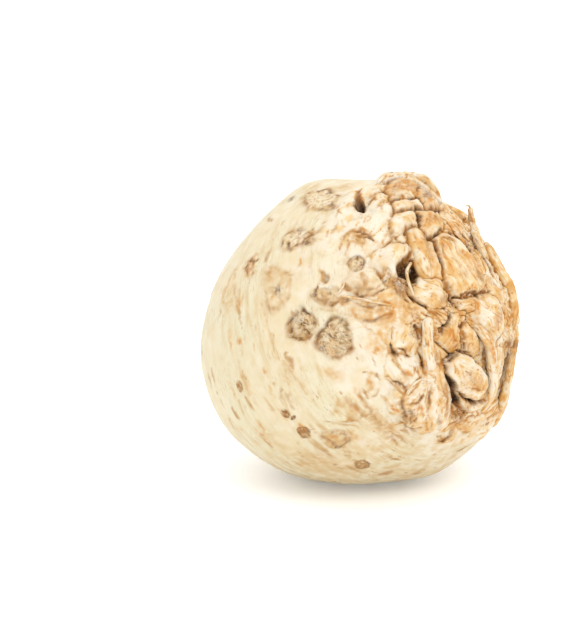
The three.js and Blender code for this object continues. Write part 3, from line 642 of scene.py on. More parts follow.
# Patches: the pixel of the middle, half the size across and down in pixels, the tilt in degrees
# anticlockwise, the kind, and how strong it is.
PATCHES = [
    # These four honey patches are painted shade in the valleys right of the layered scar.
    ((388, 302), (20, 14), -30, "honey", 0.6),
    ((376, 309), (30, 16), -10, "honey", 0.35),
    ((402, 312), (17, 20), -35, "honey", 0.55),
    ((384, 334), (11, 15), -20, "honey", 0.5),
    ((397, 287), (13, 8), -35, "stain", 1.1),
    ((427, 361), (6, 14), -10, "honey", 0.9),
    ((449, 392), (5, 15), 12, "stain", 1.1),
    ((455, 409), (11, 9), -20, "stain", 0.9),
    ((426, 424), (20, 8), 5, "honey", 0.6),
    ((444, 404), (7, 22), 0, "honey", 1.0),
    ((446, 402), (4, 18), 5, "stain", 0.8),
    ((462, 423), (22, 10), -8, "honey", 0.7),
    ((456, 419), (14, 7), -15, "stain", 0.7),
    ((360, 290), (6, 4), 0, "fibres", 0.6),
    ((392, 403), (9, 15), 10, "white", 1.0),
    ((437, 256), (4, 16), 18, "stain", 0.8),
    ((462, 243), (14, 5), -38, "stain", 0.9),
    ((480, 276), (4, 14), 28, "stain", 0.6),
    ((508, 350), (5, 20), 10, "stain", 0.5),
    ((356, 237), (20, 11), -8, "honey", 0.6),
    ((325, 279), (3, 2.5), 0, "stain", 1.0),
    ((347, 302), (3.5, 2), 10, "stain", 1.0),
    ((303, 325), (14, 15), 0, "cork", 1.0),
    ((335, 340), (19, 18), 0, "cork", 0.85),
    ((327, 296), (15, 11), 10, "cork", 0.35),
    ((356, 236), (17, 9), -8, "slit", 0.7),
    ((357, 264), (9, 5.5), -5, "cork", 0.6),
    ((361, 290), (14, 7), -10, "grey", 0.35),
    ((318, 199), (17, 10), 10, "rim", 0.9),
    ((306, 203), (5, 4), 10, "stain", 0.6),
    ((297, 239), (15, 9), 12, "rim", 0.9),
    ((302, 236), (9, 6), 12, "stain", 0.4),
    ((252, 267), (7, 10), -28, "oval", 1.0),
    ((252, 266), (5, 8), -28, "pinkish", 0.8),
    ((277, 288), (13, 22), -8, "ring", 0.9),
    ((370, 313), (22, 8), -5, "oval", 0.7),
    ((329, 371), (14, 8), -20, "orange", 0.4),
    ((373, 384), (8, 15), 10, "oval", 0.8),
    ((377, 374), (4, 4), 0, "stain", 0.9),
    ((365, 372), (2.5, 2), 0, "stain", 0.9),
    ((346, 411), (15, 11), 5, "oval", 1.0),
    ((351, 416), (4, 3), 30, "stain", 0.5),
    ((334, 438), (14, 8), -20, "rim", 0.8),
    ((334, 438), (12, 7), -20, "orange", 0.6),
    ((286.5, 413.5), (5.5, 4.5), -35, "pit", 1.0),
    ((294, 418.5), (2.4, 3.6), -35, "pit", 1.0),
    ((305.7, 433), (7, 6), -35, "pit", 0.9),
    ((239.7, 386.5), (2.6, 5.6), 12, "pit", 0.75),
    ((362, 464.5), (7.5, 4.5), -5, "pit", 0.9),
    ((281, 390), (2, 3.5), 5, "stain", 0.8),
    ((238, 341), (3, 6), 10, "orange", 0.9),
    ((270.4, 217.9), (4, 3), 10, "stain", 0.9),
    ((291, 199), (6, 2.6), 35, "grey", 0.9),
    ((223, 298), (3, 12), 8, "orange", 0.6),
    ((240, 302), (3.6, 9), -8, "orange", 0.8),
    ((385, 473), (8, 2), 12, "dash", 0.9),
    ((420, 472), (7, 2), 22, "dash", 0.9),
    ((374.5, 350.5), (4.5, 3.2), 20, "orange", 1.1),
    ((380, 337), (5, 9), -20, "honey", 0.7),
    ((385, 345), (7, 12), 0, "honey", 0.5),
    ((387, 303.5), (5, 3), 0, "orange", 1.1),
    ((393.5, 309.5), (3, 3), 0, "orange", 1.1),
    ((379, 331), (3.5, 3), 0, "honey", 0.6),
    # These two orange patches are painted shade in the valley.
    ((397, 311), (10, 16), -20, "orange", 0.3),
    ((384, 318), (14, 10), 0, "orange", 0.25),
    ((342, 262), (8, 4), 20, "dash", 0.3),
    ((385, 272), (8, 8), 20, "stain", 0.9),
    ((390, 281), (8, 7), -30, "fibres", 0.8),
    ((391, 283), (9, 9), 0, "honey", 0.9),
    ((439, 368), (8, 16), 0, "honey", 1.0),
    ((364, 287), (20, 15), 0, "tan", 0.35),
    ((372, 343), (11, 13), 0, "honey", 0.4),
    ((402, 284), (11, 8), -30, "fibres", 1.0),
    ((412, 283), (6, 8), 0, "fibres", 0.9),
    ((404, 268), (7, 10), -15, "fibres", 0.8),
    ((450, 240), (11, 5), -30, "stain", 1.1),
    ((456, 262), (3.5, 14), 24, "cream", 0.8),
    ((463, 276), (5, 10), 30, "cream", 0.5),
    ((479, 284), (4, 8), 30, "cream", 0.6),
    ((444, 250), (3, 10), 20, "stain", 0.6),
    ((474, 262), (7, 14), 28, "orange", 0.5),
    ((447, 262), (4, 12), 22, "orange", 0.45),
    ((404, 193.5), (13, 4), 3, "cream", 1.3),
    ((404, 188.5), (12, 2), 2, "orange", 1.0),
    ((433, 201), (4, 4), -30, "orange", 1.0),
    ((427, 194), (7, 4.5), -38, "grey", 0.8),
    ((434, 220), (7, 9), 10, "stain", 0.4),
    ((427, 214), (5, 4), 10, "orange", 0.4),
    ((391, 225), (3, 9), 10, "orange", 0.35),
    ((424, 246), (4, 9), 18, "stain", 0.5),
    ((438, 361), (3, 8), 0, "grey", 0.6),
    ((441, 366), (6, 12), 0, "orange", 0.5),
    ((454, 346), (6, 3), 0, "stain", 0.6),
    ((448, 334), (5, 6), 0, "orange", 0.45),
    ((417, 331), (8, 8), 0, "fibres", 0.5),
    # These two orange patches are painted shadow along the left of the middle finger.
    ((421, 366), (2.6, 11), -12, "orange", 1.1),
    ((416.6, 349), (2, 7), 0, "orange", 0.8),
    # These two orange patches are painted shadow along the left of the right finger.
    ((484, 352), (2.4, 13), 12, "orange", 1.0),
    ((488, 370.5), (2, 2), 0, "orange", 1.3),
    ((500, 316), (4.5, 15), -12, "pinkish", 1.0),
    ((485, 316), (8, 15), 18, "white", 0.7),
    ((476, 306), (3, 11), 5, "orange", 0.9),
    ((487, 304), (3, 4), 0, "orange", 0.8),
    ((465, 309), (8, 5), 0, "orange", 0.5),
    ((461, 314), (4, 3), 0, "orange", 0.7),
    ((432, 299), (2.4, 3), 20, "orange", 1.2),
    ((449, 300), (3, 4), 0, "grey", 1.1),
    ((445, 300), (6, 8), 0, "stain", 0.4),
    ((456, 303), (8, 5), 0, "fibres", 0.7),
    ((412, 419), (8, 7), -20, "fibres", 0.8),
    ((409, 412), (4, 4), 0, "grey", 0.9),
    ((420, 411), (4, 5), 0, "orange", 1.0),
    ((416, 400), (6, 7), -30, "white", 0.5),
    ((433, 396), (5, 12), 0, "white", 0.4),
    ((431, 380), (7, 3), 0, "white", 1.2),
    ((439, 422), (3.5, 8), 0, "grey", 0.7),
    ((460, 411), (7, 7), 0, "grey", 1.2),
    ((459, 412), (8, 9), 0, "fibres", 0.7),
    ((452, 420), (7, 10), 15, "stain", 0.6),
    ((465, 430), (4, 4), 0, "orange", 0.7),
    ((448, 441), (7, 2), 8, "orange", 0.7),
    ((488, 423), (2.4, 2), 0, "stain", 0.9),
    ((494, 416), (3, 3), 0, "stain", 0.8),
    ((488, 416), (10, 8), 40, "orange", 0.25),
    ((472, 382), (11, 12), 30, "pinkish", 0.4),
    ((462, 357), (9, 3), 15, "orange", 0.35),
    ((470, 342), (6, 11), 8, "orange", 0.4),
    ((484, 338), (3, 6), 35, "orange", 0.7),
    ((487, 338), (2, 2.5), 0, "orange", 1.0),
    ((509, 343), (5, 5), 0, "stain", 0.5),
    ((455, 237), (6, 5), -30, "stain", 0.3),
    ((456, 226), (5, 9), 38, "orange", 0.35),
    ((391.5, 426), (5, 5), 0, "orange", 0.4),
    ((386, 436), (12, 5), -40, "tan", 0.25),
    ((372, 424), (14, 4), -50, "tan", 0.5),
    # These three tan patches low on the globe are painted shade towards the bottom.
    ((316, 462), (34, 11), -8, "tan", 0.9),
    ((268, 437), (22, 9), -38, "tan", 0.5),
    ((352, 470), (26, 7), 3, "tan", 0.5),
    ((228, 300), (7, 18), 4, "tan", 0.6),
    ((345, 186), (14, 4), 8, "tan", 0.8),
    ((310, 188), (16, 4), 22, "tan", 0.7),
    ((352, 436), (9, 6), -20, "orange", 0.5),
    ((378, 448), (9, 7), 0, "tan", 0.4),
]

# Marks on the sides that the photograph doesn't show, on the map: the middle, the half sizes in mm, the
# tilt, the kind and the strength.
FAR_PATCHES = [
    ((78, -40), (7, 4.5), 10, "cork", 0.8),
    ((92, 18), (6, 8), 20, "ring", 0.9),
    ((74, 44), (8, 4), -15, "rim", 0.9),
    ((120, 0), (5, 4), 0, "cork", 0.6),
    ((84, 78), (9, 4), 30, "oval", 0.9),
    ((108, -62), (8, 4), -20, "oval", 0.9),
    ((30, 104), (8, 4), 0, "slit", 0.8),
    ((62, 96), (5, 5), 0, "cork", 0.7),
    ((134, 44), (7, 4), 40, "rim", 0.9),
    ((140, -30), (6, 5), 0, "slit", 0.8),
    ((-96, 120), (7, 4), 40, "slit", 0.7),
    ((-130, 70), (6, 4), 60, "oval", 0.8),
]


def laid(middle, half, tilt, place):
    """The middle of a patch on the flesh, and its two half axes as vectors."""
    tilt = math.radians(tilt)
    turn = 1 if place is mapped else -1
    axes = [
        (half[0] * math.cos(tilt), turn * half[0] * math.sin(tilt)),
        (-half[1] * math.sin(tilt), turn * half[1] * math.cos(tilt)),
    ]
    spots = [middle]
    for dx, dy in axes:
        spots += [(middle[0] + dx / 2, middle[1] + dy / 2), (middle[0] - dx / 2, middle[1] - dy / 2)]
    top = float(relief(unit(touching([middle], place=place)))[0])
    points = unit(place([(x, y, top) for x, y in spots])) * RADIUS
    return points[0], points[1] - points[2], points[3] - points[4]


# Small random marks: how many, and the seed. Those on the back crowd within a width of the leaf end, stay
# clear of its scar, in mm, and stop above the underside.
BACK_SPOTS = 150
BACK_SEED = 7
CROWDED = 62
CLEAR_OF_SCAR = 24
UNDERSIDE = -0.93
FLECKS = 190
FLECK_SEED = 19


def small_mark(direction, size, long, kind, strength):
    """A mark that is size across, and long times as much along the way that the skin runs."""
    sideways = unit(np.cross(AXIS, direction))
    outwards = np.cross(direction, sideways)
    return direction * RADIUS, sideways * size * long, outwards * size, kind, strength


def spots_on_back():
    """Brown dots and short sideways scars, thickest round the leaf end and none in the photographed view."""
    draw = np.random.default_rng(BACK_SEED)
    spots = []
    while len(spots) < BACK_SPOTS:
        direction = unit(draw.normal(size=3))
        from_crown = float(arc_to(direction[None], CROWN)[0])
        keep = 0.25 + 0.9 * hump(from_crown, CROWDED)
        size = draw.uniform(0.7, 1.7)
        shows = direction @ TOWARDS > 0.05
        if shows or in_root_end(direction[None])[0] > 0 or from_crown < CLEAR_OF_SCAR:
            continue
        if draw.random() > keep or direction[2] < UNDERSIDE:
            continue
        long = draw.uniform(1.0, 2.6)
        kind = "pit" if draw.random() < 0.45 else "dash"
        spots.append(small_mark(direction, size, long, kind, draw.uniform(0.45, 0.9)))
    return spots


def flecks_in_view():
    """Short tan dashes of the skin's near side, along the way the skin runs, thicker low down."""
    draw = np.random.default_rng(FLECK_SEED)
    flecks = []
    while len(flecks) < FLECKS:
        x, y = draw.uniform(200, 520), draw.uniform(190, 490)
        direction = unit(seen([(x, y)]))[0]
        low = ramp(np.array(float(direction @ -UPWARDS)), -0.4, 0.9)
        if in_root_end(direction[None])[0] > 0.05 or draw.random() > 0.25 + 0.75 * low:
            continue
        size = draw.uniform(0.28, 0.7) * (2.0 if draw.random() < 0.15 else 1.0)
        long = draw.uniform(2.0, 6.0)
        kind = "dash" if draw.random() < 0.6 else "orange"
        flecks.append(small_mark(direction, size, long, kind, draw.uniform(0.4, 1.0)))
    return flecks


# Colours, as they look in the picture.
def colour(code):
    return np.array([int(code[i:i + 2], 16) / 255 for i in (1, 3, 5)])


CREAM = colour("#f6e4bd")
WHITE = colour("#fdf1da")
GREENISH = colour("#f1e9c6")
TAN = colour("#dfb981")
FLESH = colour("#f9d89e")
HONEY = colour("#e8ac5e")
BROWN = colour("#a36b34")
CORK = colour("#c08c4f")
DARK = colour("#341c0c")
ORANGE = colour("#d98a35")
GREY = colour("#8f7a68")
PINKISH = colour("#cfa07c")
RING = colour("#e3bf8b")
LEAF_SCAR = colour("#8d6a3c")
# The colours of the patches that are only a shade.
SHADES = {
    "stain": BROWN, "honey": HONEY, "orange": ORANGE, "grey": GREY,
    "white": WHITE, "cream": CREAM, "tan": TAN, "pinkish": PINKISH,
}
# The base colours against how they look in the studio's light.
LIGHTNESS = 0.68


def mix(a, b, t):
    """Colours with another over them, covering them by t."""
    t = np.clip(t, 0, 1)[:, None]
    return a * (1 - t) + b * t


def layered(tint, layers):
    """A tint with layers over it, each a colour and how much it covers."""
    for shade, cover in layers:
        tint = mix(tint, shade, cover)
    return tint


def linear(srgb):
    """A colour as the shader takes it."""
    srgb = np.clip(srgb, 0, 1)
    return LIGHTNESS * np.where(srgb <= 0.04045, srgb / 12.92, ((srgb + 0.055) / 1.055) ** 2.4)


def flesh_colour(tone):
    """The colour of lumps and roots, from white flesh to brown."""
    pale = mix(np.tile(WHITE, (len(tone), 1)), FLESH, tone / 0.25)
    return mix(mix(pale, HONEY, (tone - 0.25) / 0.3), BROWN, (tone - 0.55) / 0.55)


def line_distance(points, path):
    """How far points are from a path, and how far along it they lie, from 0 to 1."""
    best = np.full(len(points), 1e9)
    place = np.zeros(len(points))
    for i in range(len(path) - 1):
        line = path[i + 1] - path[i]
        offset = points - path[i]
        t = np.clip(offset @ line / (line @ line), 0, 1)
        d = np.linalg.norm(offset - t[:, None] * line, axis=1)
        nearer = d < best
        best[nearer] = d[nearer]
        place[nearer] = ((i + t) / (len(path) - 1))[nearer]
    return best, place


def draw_patch(kind, strength, u, v, points, height, tint, grime_and_shade, cork):
    """One patch, for the vertices near it: u and v run from -1 to 1 across it. Returns the changed fields."""
    blotch = grain(points, 2.2, 2, 5.0)
    speck = grain(points, 1.0, 2, 8.0)
    r = np.hypot(u, v) * (1 + 0.35 * grain(points, 5.0, 1, 9.0)) + 0.14 * blotch
    inside = 1 - ramp(r, 0.78, 1.06)
    edge = hump(r - 0.98, 0.11)
    if kind == "cork":
        spread_out = np.stack([(u + 0.7 * v) * 3.4, (u - v) * 0.9, r * 0], 1)
        strands = grain(spread_out + speck[:, None] * 0.25, 1.0, 3, 3.0)
        crack = 1 - ramp(np.abs(strands), 0.02, 0.16)
        dark = edge * (0.05 + 0.4 * v + 0.8 * blotch) + 0.7 * inside * crack * (blotch > 0.1)
        height = height + strength * inside * (0.4 + 1.1 * np.abs(strands)) - strength * edge * 0.5
        height = height - strength * crack * inside * 0.4
        layers = [
            (TAN, inside * min(1, strength + 0.3) * 0.5),
            (CREAM, inside * strength * ramp(strands, 0.0, 0.3) * 0.9),
            (CORK, inside * strength * (0.9 * blotch + 0.5 * hump(r - 0.85, 0.2))),
            (BROWN, strength * inside * crack * (0.6 + 0.8 * blotch)),
            (BROWN, strength * edge * (0.5 + 1.2 * blotch - 0.3 * v)),
            (DARK, strength * dark),
            (GREY, strength * inside * ramp(speck - 0.4 * blotch, 0.16, 0.44) * 0.25),
        ]
        cork = np.maximum(cork, inside * strength)
    elif kind == "slit":
        height = height + strength * inside * 0.5
        layers = [
            (TAN, strength * inside * (0.5 + 1.2 * blotch)),
            (CORK, strength * inside * (0.15 + 1.0 * blotch + 0.3 * (u > 0))),
            (BROWN, strength * inside * (0.05 + 0.9 * speck)),
        ]
        cork = np.maximum(cork, inside * strength * 0.7)
    elif kind == "rim":
        side = 0.5 + 0.5 * u
        height = height + strength * (0.35 * hump(r - 0.85, 0.2) + 0.15 * inside)
        layers = [
            (TAN, strength * hump(r - 0.9, 0.3) * (0.45 + 0.9 * blotch)),
            (BROWN, strength * hump(r - 0.95, 0.14) * (0.25 + 0.5 * side + 0.9 * blotch)),
            (DARK, strength * hump(r - 0.97, 0.09) * (0.6 * side - 0.25 + 1.3 * blotch)),
            (BROWN, strength * inside * (speck > 0.22) * 0.4),
        ]
        cork = np.maximum(cork, edge * strength)
    elif kind == "ring":
        heart = hump(np.hypot(u, v * 1.5 + 0.1), 0.34)
        height = height + strength * (0.4 * hump(r - 0.75, 0.25) - 0.25 * hump(r, 0.4))
        layers = [
            (RING, strength * inside * (0.42 + 0.4 * v + 0.9 * blotch)),
            (RING, strength * hump(r - 0.85, 0.16) * 0.6),
            (GREY, strength * heart * (0.55 + 1.2 * speck)),
            (BROWN, strength * edge * (0.25 + 0.6 * blotch)),
        ]
    elif kind == "oval":
        curl = hump(r - 0.86, 0.1) * ramp(u - v, -0.6, 0.8)
        height = height + strength * (0.3 * inside + 0.25 * curl)
        layers = [
            (TAN, strength * inside * (0.45 + 0.8 * blotch)),
            (ORANGE, strength * inside * (0.9 * blotch - 0.02)),
            (BROWN, strength * curl * (0.4 + 0.8 * blotch)),
        ]
    elif kind == "pit":
        hole = 1 - ramp(r, 0.45, 0.8)
        rim = hump(r - 0.86, 0.13)
        height = height + strength * (0.35 * hump(r - 0.9, 0.2) - 0.55 * hole)
        layers = [
            (CORK, strength * (1 - ramp(r, 0.8, 1.1)) * (0.8 + 1.2 * speck)),
            (BROWN, strength * rim * (0.95 + 0.8 * speck)),
            (DARK, strength * rim * (0.35 + 1.2 * blotch)),
            (BROWN, strength * hole * (0.3 + 1.6 * speck)),
        ]
    elif kind == "dash":
        layers = [(CORK, strength * inside * (0.7 + 0.8 * blotch))]
    elif kind == "fibres":
        spread_out = np.stack([u * 4.5 + v, v * 0.9, r * 0], 1)
        strands = grain(spread_out + speck[:, None] * 0.3, 1.0, 2, 6.0)
        soft = (1 - ramp(r, 0.45, 1.15)) * strength
        height = height + soft * 0.7 * strands
        layers = [
            (CORK, soft * (0.45 + 0.9 * blotch)),
            (BROWN, soft * ramp(strands, -0.05, 0.25) * 0.8),
            (DARK, soft * ramp(-strands, 0.12, 0.34) * 0.9),
        ]
        grime_and_shade = np.maximum(grime_and_shade, soft * 0.3)
        cork = np.maximum(cork, soft)
    else:
        soft = 1 - ramp(r, 0.35, 1.15)
        layers = [(SHADES[kind], strength * soft * (0.6 + 0.9 * blotch + 0.6 * speck))]
        if kind in ("stain", "grey"):
            grime_and_shade = np.maximum(grime_and_shade, strength * soft * (0.15 + 0.6 * speck))
            cork = np.maximum(cork, strength * soft * 0.5)
    return height, layered(tint, layers), grime_and_shade, cork


ALL_PATCHES = []
for rows, place in ((PATCHES, seen), (FAR_PATCHES, mapped)):
    ALL_PATCHES += [(*laid(middle, half, tilt, place), kind, s) for middle, half, tilt, kind, s in rows]
ALL_PATCHES += spots_on_back() + flecks_in_view()


def mark(points, height, tint, grime_and_shade, cork, kinds=None):
    """Draws the patches on vertices, in place. Given kinds, only those."""
    for middle, u_axis, v_axis, kind, strength in ALL_PATCHES:
        if kinds and kind not in kinds:
            continue
        reach = 1.6 * max(np.linalg.norm(u_axis), np.linalg.norm(v_axis))
        near = np.nonzero(np.linalg.norm(points - middle, axis=1) < reach)[0]
        if not len(near):
            continue
        u, v = np.linalg.lstsq(np.stack([u_axis, v_axis], 1), (points[near] - middle).T, rcond=None)[0]
        fields = draw_patch(
            kind, strength, u, v, points[near], height[near], tint[near], grime_and_shade[near], cork[near]
        )
        height[near], tint[near], grime_and_shade[near], cork[near] = fields


def evened(values, triangles, times):
    """Values at the corners of a mesh, each replaced by the mean of its neighbours, a number of times."""
    pairs = [(0, 1), (1, 2), (2, 0), (1, 0), (2, 1), (0, 2)]
    count = np.bincount(triangles.ravel(), minlength=len(values)) * 2
    for _ in range(times):
        total = np.zeros(len(values))
        for a, b in pairs:
            total += np.bincount(triangles[:, a], values[triangles[:, b]], len(values))
        values = total / count
    return values


# How far from the middle of a hollow or a crack its line can reach, in mm. How often the heights are evened
# for the level round each crease, and again for the level round the broader dips.
HOLLOW_REACH = 22
CRACK_REACH = 30
CREASE_ROUNDS = 4
DIP_ROUNDS = 26


def near_path(points, path, reach):
    """The points near a path on the flesh: which they are, how far from it and how far along it."""
    places = unit(touching(path)) * RADIUS
    near = np.nonzero(np.linalg.norm(points - places.mean(0), axis=1) < reach)[0]
    return near, *line_distance(points[near], places)


def cut_hollows(points, fine, medium, height, tint, grime_and_shade):
    """The holes and dents, cut in place, brown down their sides, with painted orange shade at their rims and
    dark painted shade and dirt where they are deep.
    """
    for path, depth, darkness in HOLLOWS:
        near, d, t = near_path(points, [(x, y) for x, y, _ in path], HOLLOW_REACH)
        width = np.interp(t, np.linspace(0, 1, len(path)), [w for _, _, w in path])
        share = width / width.max()
        height[near] -= depth * np.clip(1 - (d / (width / 2)) ** 2, 0, 1) ** 0.8 * share
        dark = (1 - ramp(d, width * 0.34, width * 0.6)) * ramp(share, 0.3, 0.8)
        brown = 1 - ramp(d, width * 0.2, width * (0.6 + 0.5 * fine[near]))
        rim = 1 - ramp(d, width * 0.45, width * 0.5 + 0.8)
        tint[near] = layered(tint[near], [
            (ORANGE, rim * (0.35 + 0.9 * medium[near])),
            (BROWN, brown * (0.25 + 0.6 * darkness + 0.8 * fine[near])),
            (DARK, dark * darkness * (0.75 + 0.9 * medium[near])),
        ])
        grime_and_shade[near] = np.maximum(grime_and_shade[near], dark * 0.8 * darkness)


def cut_cracks(points, fine, medium, height, tint, grime_and_shade):
    """The cracks, cut in place, narrower towards their ends, with orange, brown and dark painted along them as
    shade with some dirt.
    """
    for path, width, depth, darkness in CRACKS:
        near, d, t = near_path(points, path, CRACK_REACH)
        narrow = width * (0.5 + 0.5 * np.sin(math.pi * np.clip(t, 0.03, 0.97))) * (0.85 + 0.8 * fine[near])
        line = hump(d, np.maximum(narrow, 0.12))
        height[near] -= depth * line
        tint[near] = layered(tint[near], [
            (ORANGE, hump(d, narrow * 2.6) * darkness * 0.5),
            (BROWN, hump(d, narrow * 1.5) * darkness * 0.7),
            (DARK, line * ramp(np.array(darkness), 0.3, 0.9) * (0.8 + 1.0 * medium[near])),
        ])
        grime_and_shade[near] = np.maximum(grime_and_shade[near], line * darkness * 0.6)


def crease_shade_and_dirt(tint, height, triangles, inside, tones, medium):
    """The root end's tint, with painted shade and dirt in its creases and dips and painted highlight on its
    ridges.
    """
    near_mean = evened(height, triangles, CREASE_ROUNDS)
    hidden = (near_mean - height) * inside
    sunk = (evened(near_mean, triangles, DIP_ROUNDS) - height) * inside
    hidden = hidden * (0.45 + 0.55 * ramp(tones, 0.0, 0.2))
    sunk = sunk * (0.4 + 0.6 * ramp(tones, 0.0, 0.2))
    return layered(tint, [
        (HONEY, 0.5 * ramp(sunk, 0.1, 0.9)),
        (ORANGE, 0.7 * ramp(hidden, 0.03, 0.18)),
        (BROWN, ramp(hidden, 0.08, 0.34) * (0.55 + 0.9 * medium) + 0.4 * ramp(sunk, 0.5, 1.8)),
        (DARK, ramp(hidden, 0.24, 0.6) * (0.6 + 1.2 * medium)),
        (WHITE, 0.4 * ramp(-hidden, 0.03, 0.16)),
    ])


def leaf_end(directions, from_crown, fine, medium, height, tint):
    """The leaf end: a round brown scar with rings, and a paler cut in the middle. Returns where it lies,
    and the new heights and tint."""
    east_side = unit(np.cross(CROWN, EAST))
    turn = np.arctan2(directions @ east_side, directions @ EAST)
    rings = np.sin(from_crown * 1.9 + 1.2 * medium + 0.5 * np.sin(5 * turn))
    crown = 1 - ramp(from_crown + 4 * medium, 19, 25)
    core = 1 - ramp(from_crown + 2 * fine, 6, 8.5)
    height = height + crown * (0.45 * rings + 0.7 * medium) + core * 1.2
    tint = layered(tint, [
        (LEAF_SCAR, crown * (0.75 + 0.5 * medium)),
        (DARK, crown * (0.35 * ramp(-rings, 0.3, 1.0) + 0.3 * fine)),
        (TAN, core * (0.8 + 0.8 * fine)),
    ])
    return crown, height, tint


def dress(directions, triangles):
    """Height over the skin, colour, a mask of dirt and painted shade, cork, streaks and streak coordinates of
    the whole surface.
    """
    points = bent(directions)
    best, crack, which, along, across = relief(directions, details=True)
    inside = in_root_end(directions)
    fine = grain(points, 1.3, 2, 1.0)
    medium = grain(points, 3.6, 2, 4.0)
    broad = grain(points, 17.0, 2, 6.0)
    names = np.array([form["name"] for form in FORMS] + [""])[which]
    on_form = which >= 0

    # Streaks of the skin run round the root axis, and those of a lump along it.
    lift = directions @ AXIS
    around = unit(np.stack([directions @ EAST, directions @ NORTH, lift * 0], 1))
    arc = arc_to(directions, AXIS)
    flow = np.stack([arc, 9.0 * around[:, 0], 9.0 * around[:, 1]], 1)
    flow[on_form] = np.stack([across, along * 0.22, which * 13.7], 1)[on_form]
    lined = grain(flow, 1.5, 3, 3.0)

    # Lumps have a tone each, painted paler where they stand high, as highlight. The skin is whitest by the
    # root end and greenish towards the crown.
    tones = np.array([form["tone"] for form in FORMS] + [0.24])[which]
    tone = tones + 0.3 * medium + 0.26 * lined - 0.08 * ramp(best, 2.0, 4.5)
    lumpy = flesh_colour(np.clip(tone, 0, 1.1))
    from_crown = arc_to(directions, CROWN)
    green = np.clip(0.15 + 0.8 * ramp(arc, 62, 120) + 1.1 * broad, 0, 1) * ramp(from_crown, 20, 50)
    pale = layered(np.tile(WHITE, (len(points), 1)), [
        (CREAM, ramp(arc, 42, 84) + 0.9 * medium),
        (GREENISH, green * 0.6),
        # The lower side is painted tan, as shade.
        (TAN, ramp(-directions @ UPWARDS, 0.45, 1.0) * (0.22 + 0.7 * medium)),
    ])
    rough = np.where(on_form, 1.0, ramp(inside, 0.02, 0.7))
    rough = rough * np.where(np.isin(names, list(SOFT_EDGED)), 0.3, 1.0)
    tint = pale * (1 - rough[:, None]) + lumpy * rough[:, None]

    # Folds and cracks of the lumps, and the broad unevenness of the skin.
    crack = crack * (0.6 + 1.2 * medium)
    grime_and_shade = 0.25 * np.clip(crack, 0, 1)
    cork = np.clip(0.35 * inside + 0.4 * tone * rough, 0, 1)
    calm = np.where(np.isin(names, list(CALM)), 0.3, 0.8)
    calm = calm * (1 - 0.6 * far_side(directions))
    fold = np.abs(grain(np.where(on_form[:, None], flow * (1, 1.3, 1), points), 2.8, 2, 31.0))
    rings = np.isin(names, list(RINGED)) * np.sin(across * 2.6 + 1.5 * medium)
    height = best + rough * calm * (0.12 * lined + 0.1 * fine + 0.3 * medium + 1.0 * fold) + 0.05 * lined
    height = height - 0.5 * np.clip(crack, 0, 1)
    height = height + 0.35 * broad * (1 - inside)
    height = height + 0.06 * rings

    # Painted shade in the cracks, stains, and the thin wrinkles of the root end with painted shade in them.
    wrinkle = np.abs(grain(flow, 2.6, 2, 21.0))
    thread = (1 - ramp(wrinkle, 0.0, 0.07)) * rough
    height = height - 0.22 * thread
    stained = rough * (grain(points, 7.0, 3, 41.0) + 0.5 * lined)
    browner = ramp(tones, 0.02, 0.3)
    tint = layered(tint, [
        # Orange and brown in the cracks: painted shade with some dirt.
        (ORANGE, crack * 0.8),
        (BROWN, crack * 0.5),
        (HONEY, 1.2 * ramp(stained, 0.0, 0.55) * browner * (0.5 + 0.9 * fine)),
        (ORANGE, 0.9 * ramp(stained, 0.2, 0.7) * browner * (0.3 + 0.9 * fine + 0.6 * medium)),
        (WHITE, 0.5 * ramp(-stained, 0.0, 0.5)),
        # Orange and brown in the wrinkles: painted shade with some dirt.
        (ORANGE, thread * (0.34 + 0.5 * medium)),
        (BROWN, thread * (0.16 + 0.6 * medium)),
    ])

    cut_hollows(points, fine, medium, height, tint, grime_and_shade)
    mark(points, height, tint, grime_and_shade, cork)
    cut_cracks(points, fine, medium, height, tint, grime_and_shade)
    # Painted shade and dirt in the creases and dips, painted highlight on the ridges.
    tint = crease_shade_and_dirt(tint, height, triangles, inside, tones, medium)
    crown, height, tint = leaf_end(directions, from_crown, fine, medium, height, tint)
    cork = np.maximum(cork, crown)
    streaky = np.clip(1 - rough, 0, 1) * (1 - crown) * np.clip(0.6 + 0.9 * broad, 0.1, 1)
    return height, tint, grime_and_shade, cork, streaky, flow


def geodesic(n):
    """The directions and triangles of a sphere of 20 faces, each split into n x n."""
    g = (1 + 5**0.5) / 2
    corners = unit(np.array([
        (-1, g, 0), (1, g, 0), (-1, -g, 0), (1, -g, 0), (0, -1, g), (0, 1, g),
        (0, -1, -g), (0, 1, -g), (g, 0, -1), (g, 0, 1), (-g, 0, -1), (-g, 0, 1),
    ]))
    faces = [
        (0, 11, 5), (0, 5, 1), (0, 1, 7), (0, 7, 10), (0, 10, 11), (1, 5, 9), (5, 11, 4), (11, 10, 2),
        (10, 7, 6), (7, 1, 8), (3, 9, 4), (3, 4, 2), (3, 2, 6), (3, 6, 8), (3, 8, 9), (4, 9, 5),
        (2, 4, 11), (6, 2, 10), (8, 6, 7), (9, 8, 1),
    ]
    grid = [(i, j) for i in range(n + 1) for j in range(n + 1 - i)]
    number = {ij: k for k, ij in enumerate(grid)}
    weights = np.array([((n - i - j) / n, i / n, j / n) for i, j in grid])
    small = []
    for i, j in grid:
        if i + j < n:
            small.append((number[i, j], number[i + 1, j], number[i, j + 1]))
        if i + j < n - 1:
            small.append((number[i + 1, j], number[i + 1, j + 1], number[i, j + 1]))
    small = np.array(small)
    points = np.concatenate([weights @ corners[list(face)] for face in faces])
    triangles = np.concatenate([small + k * len(grid) for k in range(len(faces))])
    _, first, inverse = np.unique(np.round(points, 7), axis=0, return_index=True, return_inverse=True)
    return unit(points[first]), inverse.reshape(-1)[triangles]


